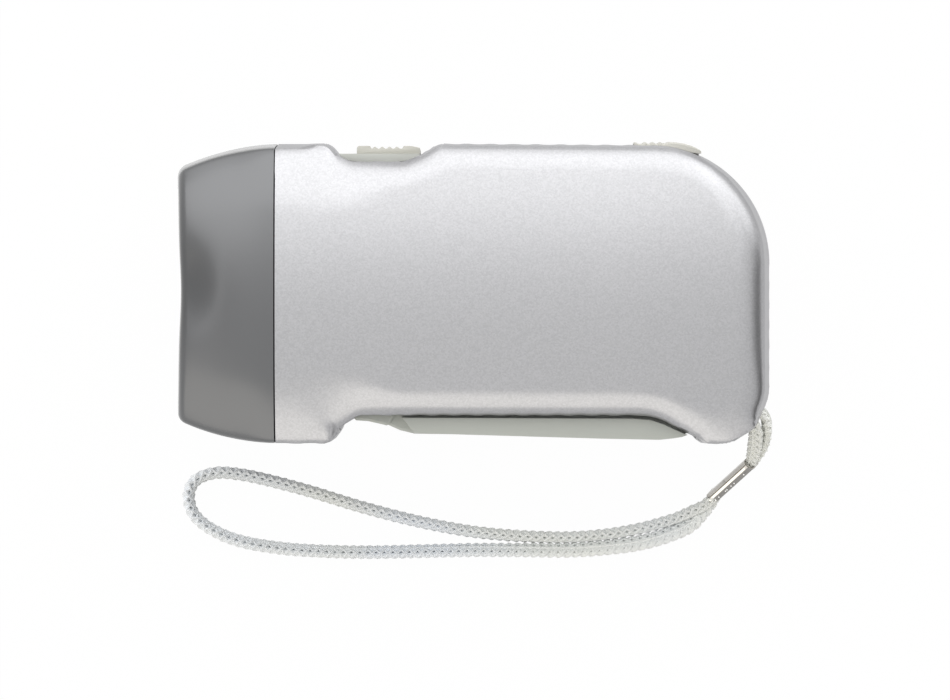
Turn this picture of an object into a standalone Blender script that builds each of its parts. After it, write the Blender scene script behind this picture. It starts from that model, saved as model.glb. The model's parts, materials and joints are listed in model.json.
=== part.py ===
# A squeeze powered dynamo torch with its wrist strap, lying on its far side.
# Metres. +X runs from the lens to the tail, +Y to the light switch, +Z to the near shell.
import math

import bmesh
import bpy
import numpy as np
from mathutils import Matrix, Vector

# Overall
TORCH_LENGTH = 0.1052
TORCH_HEIGHT = 0.0536
TORCH_WIDTH = 0.040
HEAD_LENGTH = 0.01775
WALL = 0.0018
CLEARANCE = 0.0003
OVERRUN = 0.0010

# Body outline, seen from the near side
BODY_TOP_SETBACK = 0.00036
SHOULDER_SETBACK = 0.0008
SHOULDER_RADIUS = 0.021
TAIL_LOWER_RISE = 0.0082
TAIL_LOWER_RADIUS = 0.008
CORNER_SETBACK = 0.0025
CORNER_RISE = 0.0025
CORNER_RADIUS = 0.003
REAR_LOBE_SETBACK = 0.0081
REAR_LOBE_LENGTH = 0.0124
REAR_LOBE_RADIUS = 0.006
REAR_LOBE_STEP = 0.0006
REAR_SLOPE_LENGTH = 0.0072
REAR_SLOPE_RADIUS = 0.007
CHANNEL_RISE_REAR = 0.0042
CHANNEL_RISE_FRONT = 0.00505
FRONT_LOBE_LENGTH = 0.01090
FRONT_LOBE_RISE = 0.0001
FRONT_LOBE_TOE = 0.0015
FRONT_LOBE_RADIUS = 0.0016
NOTCH_RISE = 0.0027
NOTCH_STEP = 0.0007
NOTCH_RADIUS = 0.0003
ARCH_RUN = 0.0038
ARCH_RADIUS = 0.003

# Switch recess in the top edge
RECESS_START = 0.00945
RECESS_FRONT_RAMP = 0.0028
RECESS_FLOOR = 0.0103
RECESS_REAR_RAMP = 0.0056
RECESS_DEPTH = 0.0034
RECESS_FRONT_RADIUS = 0.0025
RECESS_INNER_RADIUS = 0.004
RECESS_REAR_RADIUS = 0.0035

# Thickness of the body across the view
EDGE_ROUNDING = 0.0054
STRIP_TOP_HALF = 0.0125
STRIP_BOTTOM_HALF = 0.0142
STRIP_CHANGE_START = 0.008
STRIP_CHANGE_LENGTH = 0.008
FLAT_BAND_HALF = 0.006
FLAT_BAND_SETBACK = 0.0276
CROWN_DROP = 0.0022
TAIL_DROP = 0.0020
ROUNDING_SHARES = (0.07, 0.25, 0.55, 1.0)
INNER_SHARES = (0.15, 0.50, 1.0)
OUTER_STEP = 0.0060
INNER_STEP = 0.0100
ARC_STEP = math.radians(20)
MITRE_SHARE = 0.5

# Head
HEAD_TOP_TAPER = 0.0042
HEAD_BOTTOM_TAPER = 0.0039
HEAD_WIDTH_TAPER = 0.0030
HEAD_TAPER_POWER = 1.85
HEAD_STEPS = 4
HEAD_EDGE_RADIUS = 0.0012
RIM_WIDTH = 0.0036
RIM_LIP = 0.0018
HEAD_WALL = 0.0020
RIM_DIP = 0.0004
RIM_DIP_HALF = 0.007
SCOOP_DEPTH = 0.0022
SCOOP_LENGTH = 0.0095
SCOOP_HALF = 0.0065
SCOOP_HEIGHT = 0.0009
TONGUE_HALF = 0.0045
TONGUE_REACH = 0.0035
TONGUE_ROOT = 0.0040
TONGUE_THICKNESS = 0.0014
LENS_THICKNESS = 0.0015
LENS_CROWN = 0.0003
REFLECTOR_RIM = 0.0015
REFLECTOR_DEPTH = 0.0081
REFLECTOR_STEP = 0.0022
REFLECTOR_BACK_HEIGHT = 0.0150
REFLECTOR_BACK_WIDTH = 0.0120
CUP_RADIUS = 0.0062
LED_HOLE_RADIUS = 0.0028
CUP_DEPTH = 0.0068
LEDS = 3
LED_CIRCLE_RADIUS = 0.0068
LED_RADIUS = 0.0025
LED_LENGTH = 0.0078
LED_FLANGE_RADIUS = 0.0029
LED_FLANGE = 0.0009
LED_BOARD_RADIUS = 0.0120
BOARD_THICKNESS = 0.0012
LED_SCREW_HEIGHT = 0.0040
LED_SCREW_SIDE = 0.0093

# Body screws and the strap's slot
BODY_SCREW_SETBACKS = (
    (0.00735, 0.0066), (0.00595, 0.0068), (0.0101, 0.0133), (0.0046, 0.0142)
)
LOWER_POST_RADIUS = 0.0034
UPPER_POST_RADIUS = 0.0026
SCREW_RADIUS = 0.0012
SCREW_HEAD_RADIUS = 0.0023
SCREW_HEAD = 0.0018
SCREW_SEAT_DROP = 0.0137
SCREW_LENGTH = 0.0245
LANYARD_POST_RADIUS = 0.0009
LANYARD_BASE_RADIUS = 0.0020
LANYARD_DEPTH = 0.0032
SLOT_HALF = 0.0029
SLOT_DEPTH = 0.0064
SLOT_SETBACK = 0.0022
SLOT_RISE = 0.00395
SLOT_DIRECTION = math.radians(-36.87)

# Lever
PIVOT_SETBACK = 0.01955
PIVOT_RISE = 0.0076
LEVER_HALF_WIDTH = 0.0120
LEVER_WALL = 0.0017
LEVER_SKIN = 0.0016
GRIP_HALF_WIDTH = 0.0136
CHANNEL_HALF = 0.0124
CHANNEL_SETBACK = 0.01185
CHANNEL_TAIL = 0.0126
LEVER_BOSS_RADIUS = 0.0033
LEVER_TOP_RISE = 0.0072
NOSE_REACH = 0.0056
NOSE_TOP_RISE = 0.0056
NOSE_BOTTOM_RISE = 0.00465
GRIP_SETBACK = 0.02145
RAMP_SETBACK = 0.02435
GRIP_FRONT_RISE = 0.0018
GRIP_MIDDLE_TAIL = 0.0301
GRIP_MIDDLE_RISE = 0.00095
GRIP_REAR_TAIL = 0.0200
GRIP_RISE = 0.00075
GRIP_TIP_TAIL = 0.0150
GRIP_TIP_RISE = 0.0016
LEVER_END_TAIL = 0.0134
GRIP_RAMP_SHARE = 0.3
LEDGE_LENGTH = 0.0012
LEDGE_THICKNESS = 0.0014
LEVER_PIN_RADIUS = 0.00125
LEVER_PIN_HALF = 0.0146
PIN_BOSS_RADIUS = 0.0024

# Gear train: every wheel has its module, teeth and face
PRESSURE_ANGLE = math.radians(20)
ADDENDUM_SHARE = 0.85
DEDENDUM_SHARE = 1.15
BACKLASH = 0.00012
STRAIGHT_FLANK_TEETH = 30
SECTOR_MODULE = 0.0008
SECTOR_TEETH = 50
SECTOR_CUT_TEETH = 7
SECTOR_DIRECTION = math.radians(60)
SECTOR_HUB_RADIUS = 0.0024
SECTOR_THICKNESS = 0.0025
SECTOR_DROP = 0.0100
FIRST_PINION_TEETH = 10
FIRST_DIRECTION = math.radians(45)
WHEEL_MODULE = 0.0006
FIRST_WHEEL_TEETH = 40
SECOND_PINION_TEETH = 10
SECOND_DIRECTION = math.radians(50)
ROTOR_MODULE = 0.0005
SECOND_WHEEL_TEETH = 36
ROTOR_PINION_TEETH = 12
ROTOR_DIRECTION = math.radians(-20)
AXLE_RADIUS = 0.0009
WHEEL_THICKNESS = 0.0018
PINION_THICKNESS = 0.0030
LAYER_GAP = 0.0004
MAGNET_RADIUS = 0.0073
MAGNET_HEIGHT = 0.0040
FLYWHEEL_RADIUS = 0.0095
FLYWHEEL_HEIGHT = 0.0030
FLYWHEEL_HUB = 0.0030
SHOE_RADIUS = 0.0079
CORE_LEG = 0.0024
CORE_HALF = 0.0107
CORE_DROP = 0.0157
SHOE_DROP = 0.0050
SHOE_RISE = 0.0026
BOBBIN_WALL = 0.0006
BOBBIN_HALF = 0.0068
BOBBIN_FLANGE = 0.0010
BOBBIN_FLANGE_HALF = 0.0050
COIL_HALF = 0.0044
FRAME_THICKNESS = 0.0015
FRAME_DROP = 0.0135
FRAME_HEIGHT = 0.0230
PILLAR_RADIUS = 0.0018
FIRST_PILLAR_OFFSETS = ((-0.0022, 0.0154),)
ROTOR_PILLAR_OFFSETS = ((-0.0021, 0.0130), (0.0176, -0.0057))
CORE_POST_RADIUS = 0.0009
FRAME_SCREW_RADIUS = 0.0007
FRAME_SCREW_HEAD = 0.0009
FRAME_SCREW_LENGTH = 0.0060

# Switch
KNOB_SETBACK = 0.0018
KNOB_LENGTH = 0.0113
KNOB_HEIGHT = 0.0016
KNOB_GROOVE = 0.00045
KNOB_HALF_WIDTH = 0.0040
KNOB_TRAVEL = 0.0028
KNOB_RIDGES = 4
KNOB_RIDGE_START = 0.0033
KNOB_RIDGE_PITCH = 0.0013
KNOB_RIDGE_HALF = 0.0004
KNOB_PAD_FRONT = 0.0023
KNOB_PAD_REAR = 0.0030
KNOB_STEM_SETBACK = 0.0058
KNOB_STEM_HALF = 0.0012
KNOB_STEM_HALF_WIDTH = 0.0016
KNOB_STEM_DROP = 0.0021
PLATE_SETBACK = 0.0019
PLATE_HALF_WIDTH = 0.0065
SWITCH_BODY_HALF = 0.0048
SWITCH_BODY_HALF_WIDTH = 0.0030
SWITCH_BODY_HEIGHT = 0.0031
SWITCH_STEM_HALF = 0.0007
SWITCH_STEM_SOCKET = 0.0012

# Lever lock
LOCK_SETBACK = 0.0242
LOCK_LENGTH = 0.0119
LOCK_TAIL_DROP = 0.0011
LOCK_TAIL_THICKNESS = 0.0004
LOCK_PAD_SETBACK = 0.0058
LOCK_LIFT = 0.0004
LOCK_GROOVE = 0.00025
LOCK_SHARES = (0.03, 0.33, 0.57, 0.80)
LOCK_RIDGE_HALF = 0.0004
LOCK_HALF_WIDTH = 0.0050
LOCK_TRAVEL = 0.0026
LOCK_STEM_SETBACK = 0.0046
LOCK_STEM_LENGTH = 0.0024
LOCK_STEM_HALF_WIDTH = 0.0014
LOCK_STEM_DROP = 0.0027
ARM_WIDTH = 0.0018
ARM_LOW = 0.0040
ARM_THICKNESS = 0.0030
ARM_JOG = 0.0020
HOOK_LENGTH = 0.0039
HOOK_THICKNESS = 0.0014

# Battery and main board
CELLS = 3
CELL_RADIUS = 0.0077
CELL_HEIGHT = 0.0054
CELL_SETBACK = 0.01235
CELL_LIFT = 0.0045
HOLDER_WALL = 0.0012
HOLDER_OPENING = math.radians(50)
HOLDER_POST_RADIUS = 0.0030
MAIN_BOARD_SETBACK = 0.00385
MAIN_BOARD_LENGTH = 0.0280
MAIN_BOARD_HALF_WIDTH = 0.0100
MAIN_BOARD_DROP = 0.01124
DIODES = 4
DIODE_RADIUS = 0.0013
DIODE_HALF = 0.0025
DIODE_PITCH = 0.0038
DIODE_SETBACK = 0.0060
CAPACITOR_RADIUS = 0.0020
CAPACITOR_HALF = 0.0040
CAPACITOR_SETBACK = 0.0030
WIRE_RADIUS = 0.00045

# Return spring
SPRING_RADIUS = 0.00195
SPRING_WIRE = 0.00035
SPRING_TURNS = 4
SPRING_PITCH = 0.0012
SPRING_DROP = 0.0050
SPRING_LEVER_LEG = 0.0055
SPRING_SHELL_LEG = 0.0070
SPRING_STOP_RADIUS = 0.0012
LEG_SHARES = (1, 0.67, 0.33)

# Strap
STRAP_RADIUS = 0.0010
EYE_RADIUS = 0.0007
CRIMP_HALF_WIDTH = 0.0014
CRIMP_HALF_DEPTH = 0.0022
CRIMP_WALL = 0.0004
CRIMP_SEAM = 0.0003
CRIMP_TOP = (0.0502, -0.0307, 0.0094)
CRIMP_FOOT = (0.0426, -0.0378, 0.0030)

# Places worked out from the sizes above
HALF_HEIGHT = TORCH_HEIGHT / 2
HALF_WIDTH = TORCH_WIDTH / 2
HALF_GAP = CLEARANCE / 2
WELD = CLEARANCE / 100
MIDDLE = HALF_WIDTH
LENS_X = -TORCH_LENGTH / 2
TAIL_X = TORCH_LENGTH / 2
JOINT_X = LENS_X + HEAD_LENGTH
FLAT_BAND_X = TAIL_X - FLAT_BAND_SETBACK

BODY_TOP = HALF_HEIGHT - BODY_TOP_SETBACK
SHOULDER_TOP = HALF_HEIGHT - SHOULDER_SETBACK
RECESS_Y = BODY_TOP - RECESS_DEPTH
BODY_BOTTOM = -HALF_HEIGHT
FRONT_LOBE_Y = BODY_BOTTOM + FRONT_LOBE_RISE
CHANNEL_REAR_Y = BODY_BOTTOM + CHANNEL_RISE_REAR
CHANNEL_FRONT_Y = BODY_BOTTOM + CHANNEL_RISE_FRONT
CHANNEL_FRONT_X = JOINT_X + CHANNEL_SETBACK
CHANNEL_REAR_X = TAIL_X - CHANNEL_TAIL

LEVER_PIVOT = (JOINT_X + PIVOT_SETBACK, BODY_BOTTOM + PIVOT_RISE)
LEVER_TOP_Y = BODY_BOTTOM + LEVER_TOP_RISE
LEVER_END_X = TAIL_X - LEVER_END_TAIL
NOSE_TOP_Y = BODY_BOTTOM + NOSE_TOP_RISE
GRIP_FRONT_X = JOINT_X + GRIP_SETBACK
RAMP_X = JOINT_X + RAMP_SETBACK
GRIP_MIDDLE_X = TAIL_X - GRIP_MIDDLE_TAIL
GRIP_REAR_X = TAIL_X - GRIP_REAR_TAIL
GRIP_TIP_X = TAIL_X - GRIP_TIP_TAIL
RAMP_Y = BODY_BOTTOM + GRIP_FRONT_RISE
GRIP_MIDDLE_Y = BODY_BOTTOM + GRIP_MIDDLE_RISE
GRIP_Y = BODY_BOTTOM + GRIP_RISE
GRIP_TIP_Y = BODY_BOTTOM + GRIP_TIP_RISE

SECTOR_FLOOR = MIDDLE - SECTOR_DROP
FRAME_FLOOR = MIDDLE - FRAME_DROP
SCREW_SEAT = MIDDLE - SCREW_SEAT_DROP
SPRING_LOW = MIDDLE - SPRING_DROP

RECESS_FLOOR_X = JOINT_X + RECESS_START + RECESS_FRONT_RAMP
PLATE_TOP = BODY_TOP - PLATE_SETBACK
KNOB_TOP = PLATE_TOP + KNOB_HEIGHT
KNOB_VALLEY = KNOB_TOP - KNOB_GROOVE
KNOB_FRONT_X = RECESS_FLOOR_X + KNOB_SETBACK
KNOB_STEM_X = KNOB_FRONT_X + KNOB_STEM_SETBACK
LOCK_FRONT_X = TAIL_X - LOCK_SETBACK
LOCK_TAIL_X = LOCK_FRONT_X + LOCK_LENGTH
LOCK_PAD_X = LOCK_FRONT_X + LOCK_PAD_SETBACK
LOCK_STEM_X = LOCK_FRONT_X + LOCK_STEM_SETBACK
LOCK_BASE = SHOULDER_TOP + LOCK_LIFT
LOCK_TOP = HALF_HEIGHT
LOCK_VALLEY = LOCK_TOP - LOCK_GROOVE
LOCK_STEM_END = SHOULDER_TOP - LOCK_STEM_DROP
ARM_TOP = LOCK_STEM_END - CLEARANCE

CELL_PLACE = (JOINT_X + CELL_SETBACK, CELL_LIFT)
MAIN_BOARD_X = JOINT_X + MAIN_BOARD_SETBACK
MAIN_BOARD_END_X = MAIN_BOARD_X + MAIN_BOARD_LENGTH
MAIN_BOARD_Y = BODY_TOP - MAIN_BOARD_DROP
HEAD_TOP_SCREW, HEAD_BOTTOM_SCREW, TAIL_TOP_SCREW, TAIL_BOTTOM_SCREW = BODY_SCREW_SETBACKS
BODY_SCREW_PLACES = (
    (JOINT_X + HEAD_TOP_SCREW[0], HALF_HEIGHT - HEAD_TOP_SCREW[1]),
    (JOINT_X + HEAD_BOTTOM_SCREW[0], BODY_BOTTOM + HEAD_BOTTOM_SCREW[1]),
    (TAIL_X - TAIL_TOP_SCREW[0], HALF_HEIGHT - TAIL_TOP_SCREW[1]),
    (TAIL_X - TAIL_BOTTOM_SCREW[0], BODY_BOTTOM + TAIL_BOTTOM_SCREW[1]),
)


def gear_centre(start, direction, distance):
    return (start[0] + distance * math.cos(direction), start[1] + distance * math.sin(direction))


FIRST_AXIS = gear_centre(
    LEVER_PIVOT, FIRST_DIRECTION, SECTOR_MODULE * (SECTOR_TEETH + FIRST_PINION_TEETH) / 2
)
SECOND_AXIS = gear_centre(
    FIRST_AXIS, SECOND_DIRECTION, WHEEL_MODULE * (FIRST_WHEEL_TEETH + SECOND_PINION_TEETH) / 2
)
ROTOR_AXIS = gear_centre(
    SECOND_AXIS, ROTOR_DIRECTION, ROTOR_MODULE * (SECOND_WHEEL_TEETH + ROTOR_PINION_TEETH) / 2
)

PILLAR_PLACES = [(FIRST_AXIS[0] + x, FIRST_AXIS[1] + y) for x, y in FIRST_PILLAR_OFFSETS]
PILLAR_PLACES += [(ROTOR_AXIS[0] + x, ROTOR_AXIS[1] + y) for x, y in ROTOR_PILLAR_OFFSETS]

# The colours are the photograph's, as linear values
FINISHES = {
    "silver_paint": ((0.62, 0.62, 0.64), 0.38, 0.55),
    "smoked_plastic": ((0.17, 0.175, 0.18), 0.40, 0.0),
    "grey_plastic": ((0.47, 0.47, 0.43), 0.45, 0.0),
    "lever_plastic": ((0.44, 0.46, 0.43), 0.45, 0.0),
    "clear_plastic": ((0.90, 0.92, 0.95), 0.05, 0.0),
    "mirror_plastic": ((0.80, 0.80, 0.80), 0.10, 1.0),
    "led_resin": ((0.85, 0.88, 0.92), 0.08, 0.0),
    "circuit_board": ((0.02, 0.16, 0.07), 0.45, 0.0),
    "black_plastic": ((0.02, 0.02, 0.02), 0.50, 0.0),
    "white_plastic": ((0.75, 0.75, 0.72), 0.45, 0.0),
    "steel": ((0.55, 0.54, 0.52), 0.32, 1.0),
    "magnet": ((0.09, 0.09, 0.10), 0.45, 0.6),
    "copper": ((0.72, 0.30, 0.14), 0.30, 1.0),
    "cord": ((0.52, 0.54, 0.50), 0.85, 0.0),
    "wire_red": ((0.55, 0.02, 0.02), 0.45, 0.0),
    "wire_black": ((0.02, 0.02, 0.02), 0.45, 0.0),
}

for old in list(bpy.data.objects):
    bpy.data.objects.remove(old, do_unlink=True)

parts = bpy.data.collections.new("dynamo_torch")
cutters = bpy.data.collections.new("cutters")
for group in (parts, cutters):
    bpy.context.scene.collection.children.link(group)

materials = {}
for finish, (colour, roughness, metallic) in FINISHES.items():
    made = bpy.data.materials.new(finish)
    made.use_nodes = True
    shader = made.node_tree.nodes["Principled BSDF"]
    shader.inputs["Base Color"].default_value = (*colour, 1)
    shader.inputs["Roughness"].default_value = roughness
    shader.inputs["Metallic"].default_value = metallic
    materials[finish] = made


# Objects and shapes
def add_object(name, mesh, finish=None, place=(0, 0, 0)):
    """Links a mesh drawn in world coordinates as an object whose origin is at place."""
    mesh.transform(Matrix.Translation(-Vector(place)))
    obj = bpy.data.objects.new(name, mesh)
    obj.location = place
    if finish is None:
        cutters.objects.link(obj)
        obj.hide_render = True
        obj.display_type = "WIRE"
    else:
        parts.objects.link(obj)
        mesh.materials.clear()
        mesh.materials.append(materials[finish])
    return obj


def mesh_from(work, name, smooth=True):
    mesh = bpy.data.meshes.new(name)
    bmesh.ops.recalc_face_normals(work, faces=work.faces)
    work.to_mesh(mesh)
    work.free()
    if smooth:
        mesh.shade_smooth()
        mesh.set_sharp_from_angle(angle=math.radians(35))
    return mesh


def block(name, low, high, finish=None):
    low, high = Vector(low), Vector(high)
    work = bmesh.new()
    bmesh.ops.create_cube(work, size=1, matrix=Matrix.Diagonal((*(high - low), 1)))
    bmesh.ops.translate(work, verts=work.verts, vec=(low + high) / 2)
    return add_object(name, mesh_from(work, name, False), finish, (low + high) / 2)


def round_bar(name, start, end, radius, finish=None, sides=20, end_radius=None):
    """A cylinder or cone from one point to another."""
    start, end = Vector(start), Vector(end)
    work = bmesh.new()
    bmesh.ops.create_cone(
        work,
        cap_ends=True,
        segments=sides,
        radius1=radius,
        radius2=radius if end_radius is None else end_radius,
        depth=(end - start).length,
    )
    turn = (end - start).to_track_quat("Z", "Y").to_matrix().to_4x4()
    bmesh.ops.transform(work, verts=work.verts, matrix=Matrix.Translation((start + end) / 2) @ turn)
    return add_object(name, mesh_from(work, name), finish, (start + end) / 2)


def curve_mesh(curve, name):
    """The closed mesh of a curve, with its caps welded on."""
    guide = bpy.data.objects.new(name, curve)
    cutters.objects.link(guide)
    bpy.context.view_layer.update()
    seen = guide.evaluated_get(bpy.context.evaluated_depsgraph_get())
    mesh = bpy.data.meshes.new_from_object(seen)
    bpy.data.objects.remove(guide, do_unlink=True)
    work = bmesh.new()
    work.from_mesh(mesh)
    bmesh.ops.remove_doubles(work, verts=work.verts, dist=WELD)
    return mesh_from(work, name)


def plate(name, outlines, low, high, finish=None, place=(0, 0)):
    """A flat outline, with any holes after it, given its thickness along Z."""
    curve = bpy.data.curves.new(name, "CURVE")
    curve.dimensions = "2D"
    curve.fill_mode = "BOTH"
    curve.extrude = (high - low) / 2
    for outline in outlines:
        spline = curve.splines.new("POLY")
        spline.points.add(len(outline) - 1)
        for point, (x, y) in zip(spline.points, outline):
            point.co = (x, y, 0, 1)
        spline.use_cyclic_u = True
    mesh = curve_mesh(curve, name)
    middle = (low + high) / 2
    mesh.transform(Matrix.Translation((0, 0, middle)))
    return add_object(name, mesh, finish, (*place, middle))


def tube(name, points, radius, finish, resolution=2, place=None):
    curve = bpy.data.curves.new(name, "CURVE")
    curve.dimensions = "3D"
    curve.bevel_depth = radius
    curve.bevel_resolution = resolution
    curve.use_fill_caps = True
    spline = curve.splines.new("POLY")
    spline.points.add(len(points) - 1)
    for target, point in zip(spline.points, points):
        target.co = (*point, 1)
    return add_object(name, curve_mesh(curve, name), finish, place or points[0])


def turned(name, profile, centre, axis, finish, steps=20):
    """A profile of (radius, height) points, top first, turned round an axis through a centre."""
    mesh = bpy.data.meshes.new(name)
    count = len(profile)
    edges = [(i, i + 1) for i in range(count - 1)]
    mesh.from_pydata([(r, 0, h) for r, h in profile], edges, [])
    turn = Vector(axis).to_track_quat("Z", "Y").to_matrix().to_4x4()
    obj = add_object(name, mesh, finish)
    obj.matrix_world = Matrix.Translation(centre) @ turn
    screw = obj.modifiers.new("Turn", "SCREW")
    screw.axis = "Z"
    screw.steps = steps
    screw.render_steps = steps
    screw.use_merge_vertices = True
    screw.merge_threshold = WELD
    screw.use_smooth_shade = True
    return obj


def combine(target, tool, operation="DIFFERENCE"):
    """Cuts, joins or trims one object with another, which becomes a hidden cutter."""
    if tool.name in parts.objects:
        parts.objects.unlink(tool)
        cutters.objects.link(tool)
    tool.hide_render = True
    tool.display_type = "WIRE"
    change = target.modifiers.new(tool.name, "BOOLEAN")
    change.operation = operation
    change.object = tool
    change.solver = "EXACT"
    return target


def joined(target, tool):
    return combine(target, tool, "UNION")


def hang(obj, joint):
    """Parents an object to the empty on its joint's axis, leaving it where it is."""
    obj.location = Vector(obj.location) - joint.location
    obj.parent = joint
    return obj


def joint_empty(name, place):
    empty = bpy.data.objects.new(name, None)
    empty.location = place
    empty.empty_display_size = HEAD_LENGTH
    parts.objects.link(empty)
    return empty


# Outlines
def rounded_path(corners, step, closed=False):
    """Points along straight runs between corners given as (x, y, radius)."""
    spots = [Vector(corner[:2]) for corner in corners]
    count = len(corners)
    path = []
    for i, (x, y, radius) in enumerate(corners):
        here = spots[i]
        if radius == 0 or (not closed and i in (0, count - 1)):
            path.append(here)
            continue
        back = (spots[i - 1] - here).normalized()
        ahead = (spots[(i + 1) % count] - here).normalized()
        half = math.acos(max(-1, min(1, back.dot(ahead)))) / 2
        reach = radius / math.tan(half)
        centre = here + (back + ahead).normalized() * (radius / math.sin(half))
        start = here + back * reach - centre
        sweep = math.pi - 2 * half
        turn = 1 if back.x * ahead.y - back.y * ahead.x < 0 else -1
        pieces = max(1, math.ceil(sweep / ARC_STEP))
        for k in range(pieces + 1):
            angle = turn * sweep * k / pieces
            path.append(centre + Matrix.Rotation(angle, 2) @ start)
    points = []
    ends = path[1:] + [path[0]] if closed else path[1:]
    for start, end in zip(path, ends):
        pieces = max(1, math.ceil((end - start).length / step))
        points += [start.lerp(end, k / pieces) for k in range(pieces)]
    if not closed:
        points.append(path[-1])
    return np.array([tuple(p) for p in points])


def circle(centre, radius, sides=20, start=0.0):
    return [
        (
            centre[0] + radius * math.cos(start + math.tau * k / sides),
            centre[1] + radius * math.sin(start + math.tau * k / sides),
        )
        for k in range(sides)
    ]


def body_corners():
    """The body's edge from the joint's top, round the tail, to the joint's bottom."""
    floor_end = RECESS_FLOOR_X + RECESS_FLOOR
    lobe = TAIL_X - REAR_LOBE_LENGTH
    toe = JOINT_X + FRONT_LOBE_LENGTH
    notch = BODY_BOTTOM + NOTCH_RISE
    return [
        (JOINT_X, BODY_TOP, 0),
        (RECESS_FLOOR_X - RECESS_FRONT_RAMP, BODY_TOP, RECESS_FRONT_RADIUS),
        (RECESS_FLOOR_X, RECESS_Y, RECESS_INNER_RADIUS),
        (floor_end, RECESS_Y, RECESS_INNER_RADIUS),
        (floor_end + RECESS_REAR_RAMP, BODY_TOP, RECESS_REAR_RADIUS),
        (TAIL_X, SHOULDER_TOP, SHOULDER_RADIUS),
        (TAIL_X, BODY_BOTTOM + TAIL_LOWER_RISE, TAIL_LOWER_RADIUS),
        (TAIL_X - CORNER_SETBACK, BODY_BOTTOM + CORNER_RISE, CORNER_RADIUS),
        (TAIL_X - REAR_LOBE_SETBACK, BODY_BOTTOM, REAR_LOBE_RADIUS),
        (lobe, BODY_BOTTOM, NOTCH_RADIUS),
        (lobe, BODY_BOTTOM + REAR_LOBE_STEP, 0),
        (lobe - REAR_SLOPE_LENGTH, CHANNEL_REAR_Y, REAR_SLOPE_RADIUS),
        (toe + ARCH_RUN, CHANNEL_FRONT_Y, ARCH_RADIUS),
        (toe, notch, 0),
        (toe, notch - NOTCH_STEP, NOTCH_RADIUS),
        (toe - FRONT_LOBE_TOE, FRONT_LOBE_Y, FRONT_LOBE_RADIUS),
        (JOINT_X, FRONT_LOBE_Y, 0),
    ]


def cavity_corners():
    """The inside edge: the body's corners without the notches, one wall further in."""
    plain = [c for i, c in enumerate(body_corners()) if i not in (9, 13)]
    spots = [Vector(c[:2]) for c in plain]
    inner = []
    for i, (x, y, radius) in enumerate(plain):
        before = (spots[i] - spots[i - 1]).normalized() if i else Vector((1, 0))
        after = (spots[i + 1] - spots[i]).normalized() if i < len(plain) - 1 else Vector((-1, 0))
        normal_before = Vector((before.y, -before.x))
        normal_after = Vector((after.y, -after.x))
        across = (normal_before + normal_after).normalized()
        spot = spots[i] + across * (WALL / max(across.dot(normal_before), MITRE_SHARE))
        bend = before.x * after.y - before.y * after.x
        inner.append((spot.x, spot.y, max(radius + (WALL if bend > 0 else -WALL), NOTCH_RADIUS)))
    first, last = inner[0], inner[-1]
    inner[0] = (JOINT_X - OVERRUN, first[1], 0)
    inner[-1] = (JOINT_X - OVERRUN, last[1], 0)
    return inner


# Thickness of the body
DEPTH_POWER = 6
DEPTH_FACTOR = math.sqrt(math.pi) * math.gamma((DEPTH_POWER - 1) / 2) / math.gamma(DEPTH_POWER / 2)


def edge_depth(points, corners):
    """How far in from an edge each point lies, softened where two stretches of edge are near."""
    run = [(corners[0][0] - TORCH_LENGTH, corners[0][1], 0)] + corners[1:-1]
    run.append((corners[-1][0] - TORCH_LENGTH, corners[-1][1], 0))
    edge = rounded_path(run, CLEARANCE)
    middles = (edge[1:] + edge[:-1]) / 2
    lengths = np.linalg.norm(edge[1:] - edge[:-1], axis=1)
    depths = []
    for x, y in points:
        distance = np.hypot(middles[:, 0] - x, middles[:, 1] - y)
        nearest = distance.min()
        if nearest < 2 * CLEARANCE:
            depths.append(nearest)
            continue
        pull = (lengths * distance**-DEPTH_POWER).sum()
        depths.append((DEPTH_FACTOR / pull) ** (1 / (DEPTH_POWER - 1)))
    return np.array(depths)


def smooth_share(value):
    value = min(max(value, 0), 1)
    return value * value * (3 - 2 * value)


def strip_half(y):
    change = smooth_share((-y - STRIP_CHANGE_START) / STRIP_CHANGE_LENGTH)
    return STRIP_TOP_HALF + (STRIP_BOTTOM_HALF - STRIP_TOP_HALF) * change


def crown_half(x, y):
    side = max(abs(y) - FLAT_BAND_HALF, 0) / (HALF_HEIGHT - FLAT_BAND_HALF)
    tail = max(x - FLAT_BAND_X, 0) / (TAIL_X - FLAT_BAND_X)
    return HALF_WIDTH - CROWN_DROP * side**2 - TAIL_DROP * tail**2


def half_thickness(x, y, depth, inset=0.0):
    """Half the body's thickness at a point that lies some depth inside its edge."""
    strip = strip_half(y) - inset
    crown = crown_half(x, y) - inset
    rise = 1 - min(depth / (EDGE_ROUNDING - inset / 2), 1)
    return strip + (crown - strip) * math.sqrt(1 - rise**2)


def band_point(x, y, inset):
    """The nearest point on the edge of the flat band along the body's side."""
    half = FLAT_BAND_HALF - inset
    end = FLAT_BAND_X - FLAT_BAND_HALF
    if x <= end:
        return (x, half if y > 0 else -half)
    reach = math.hypot(x - end, y)
    return (end + half * (x - end) / reach, half * y / reach)


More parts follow.
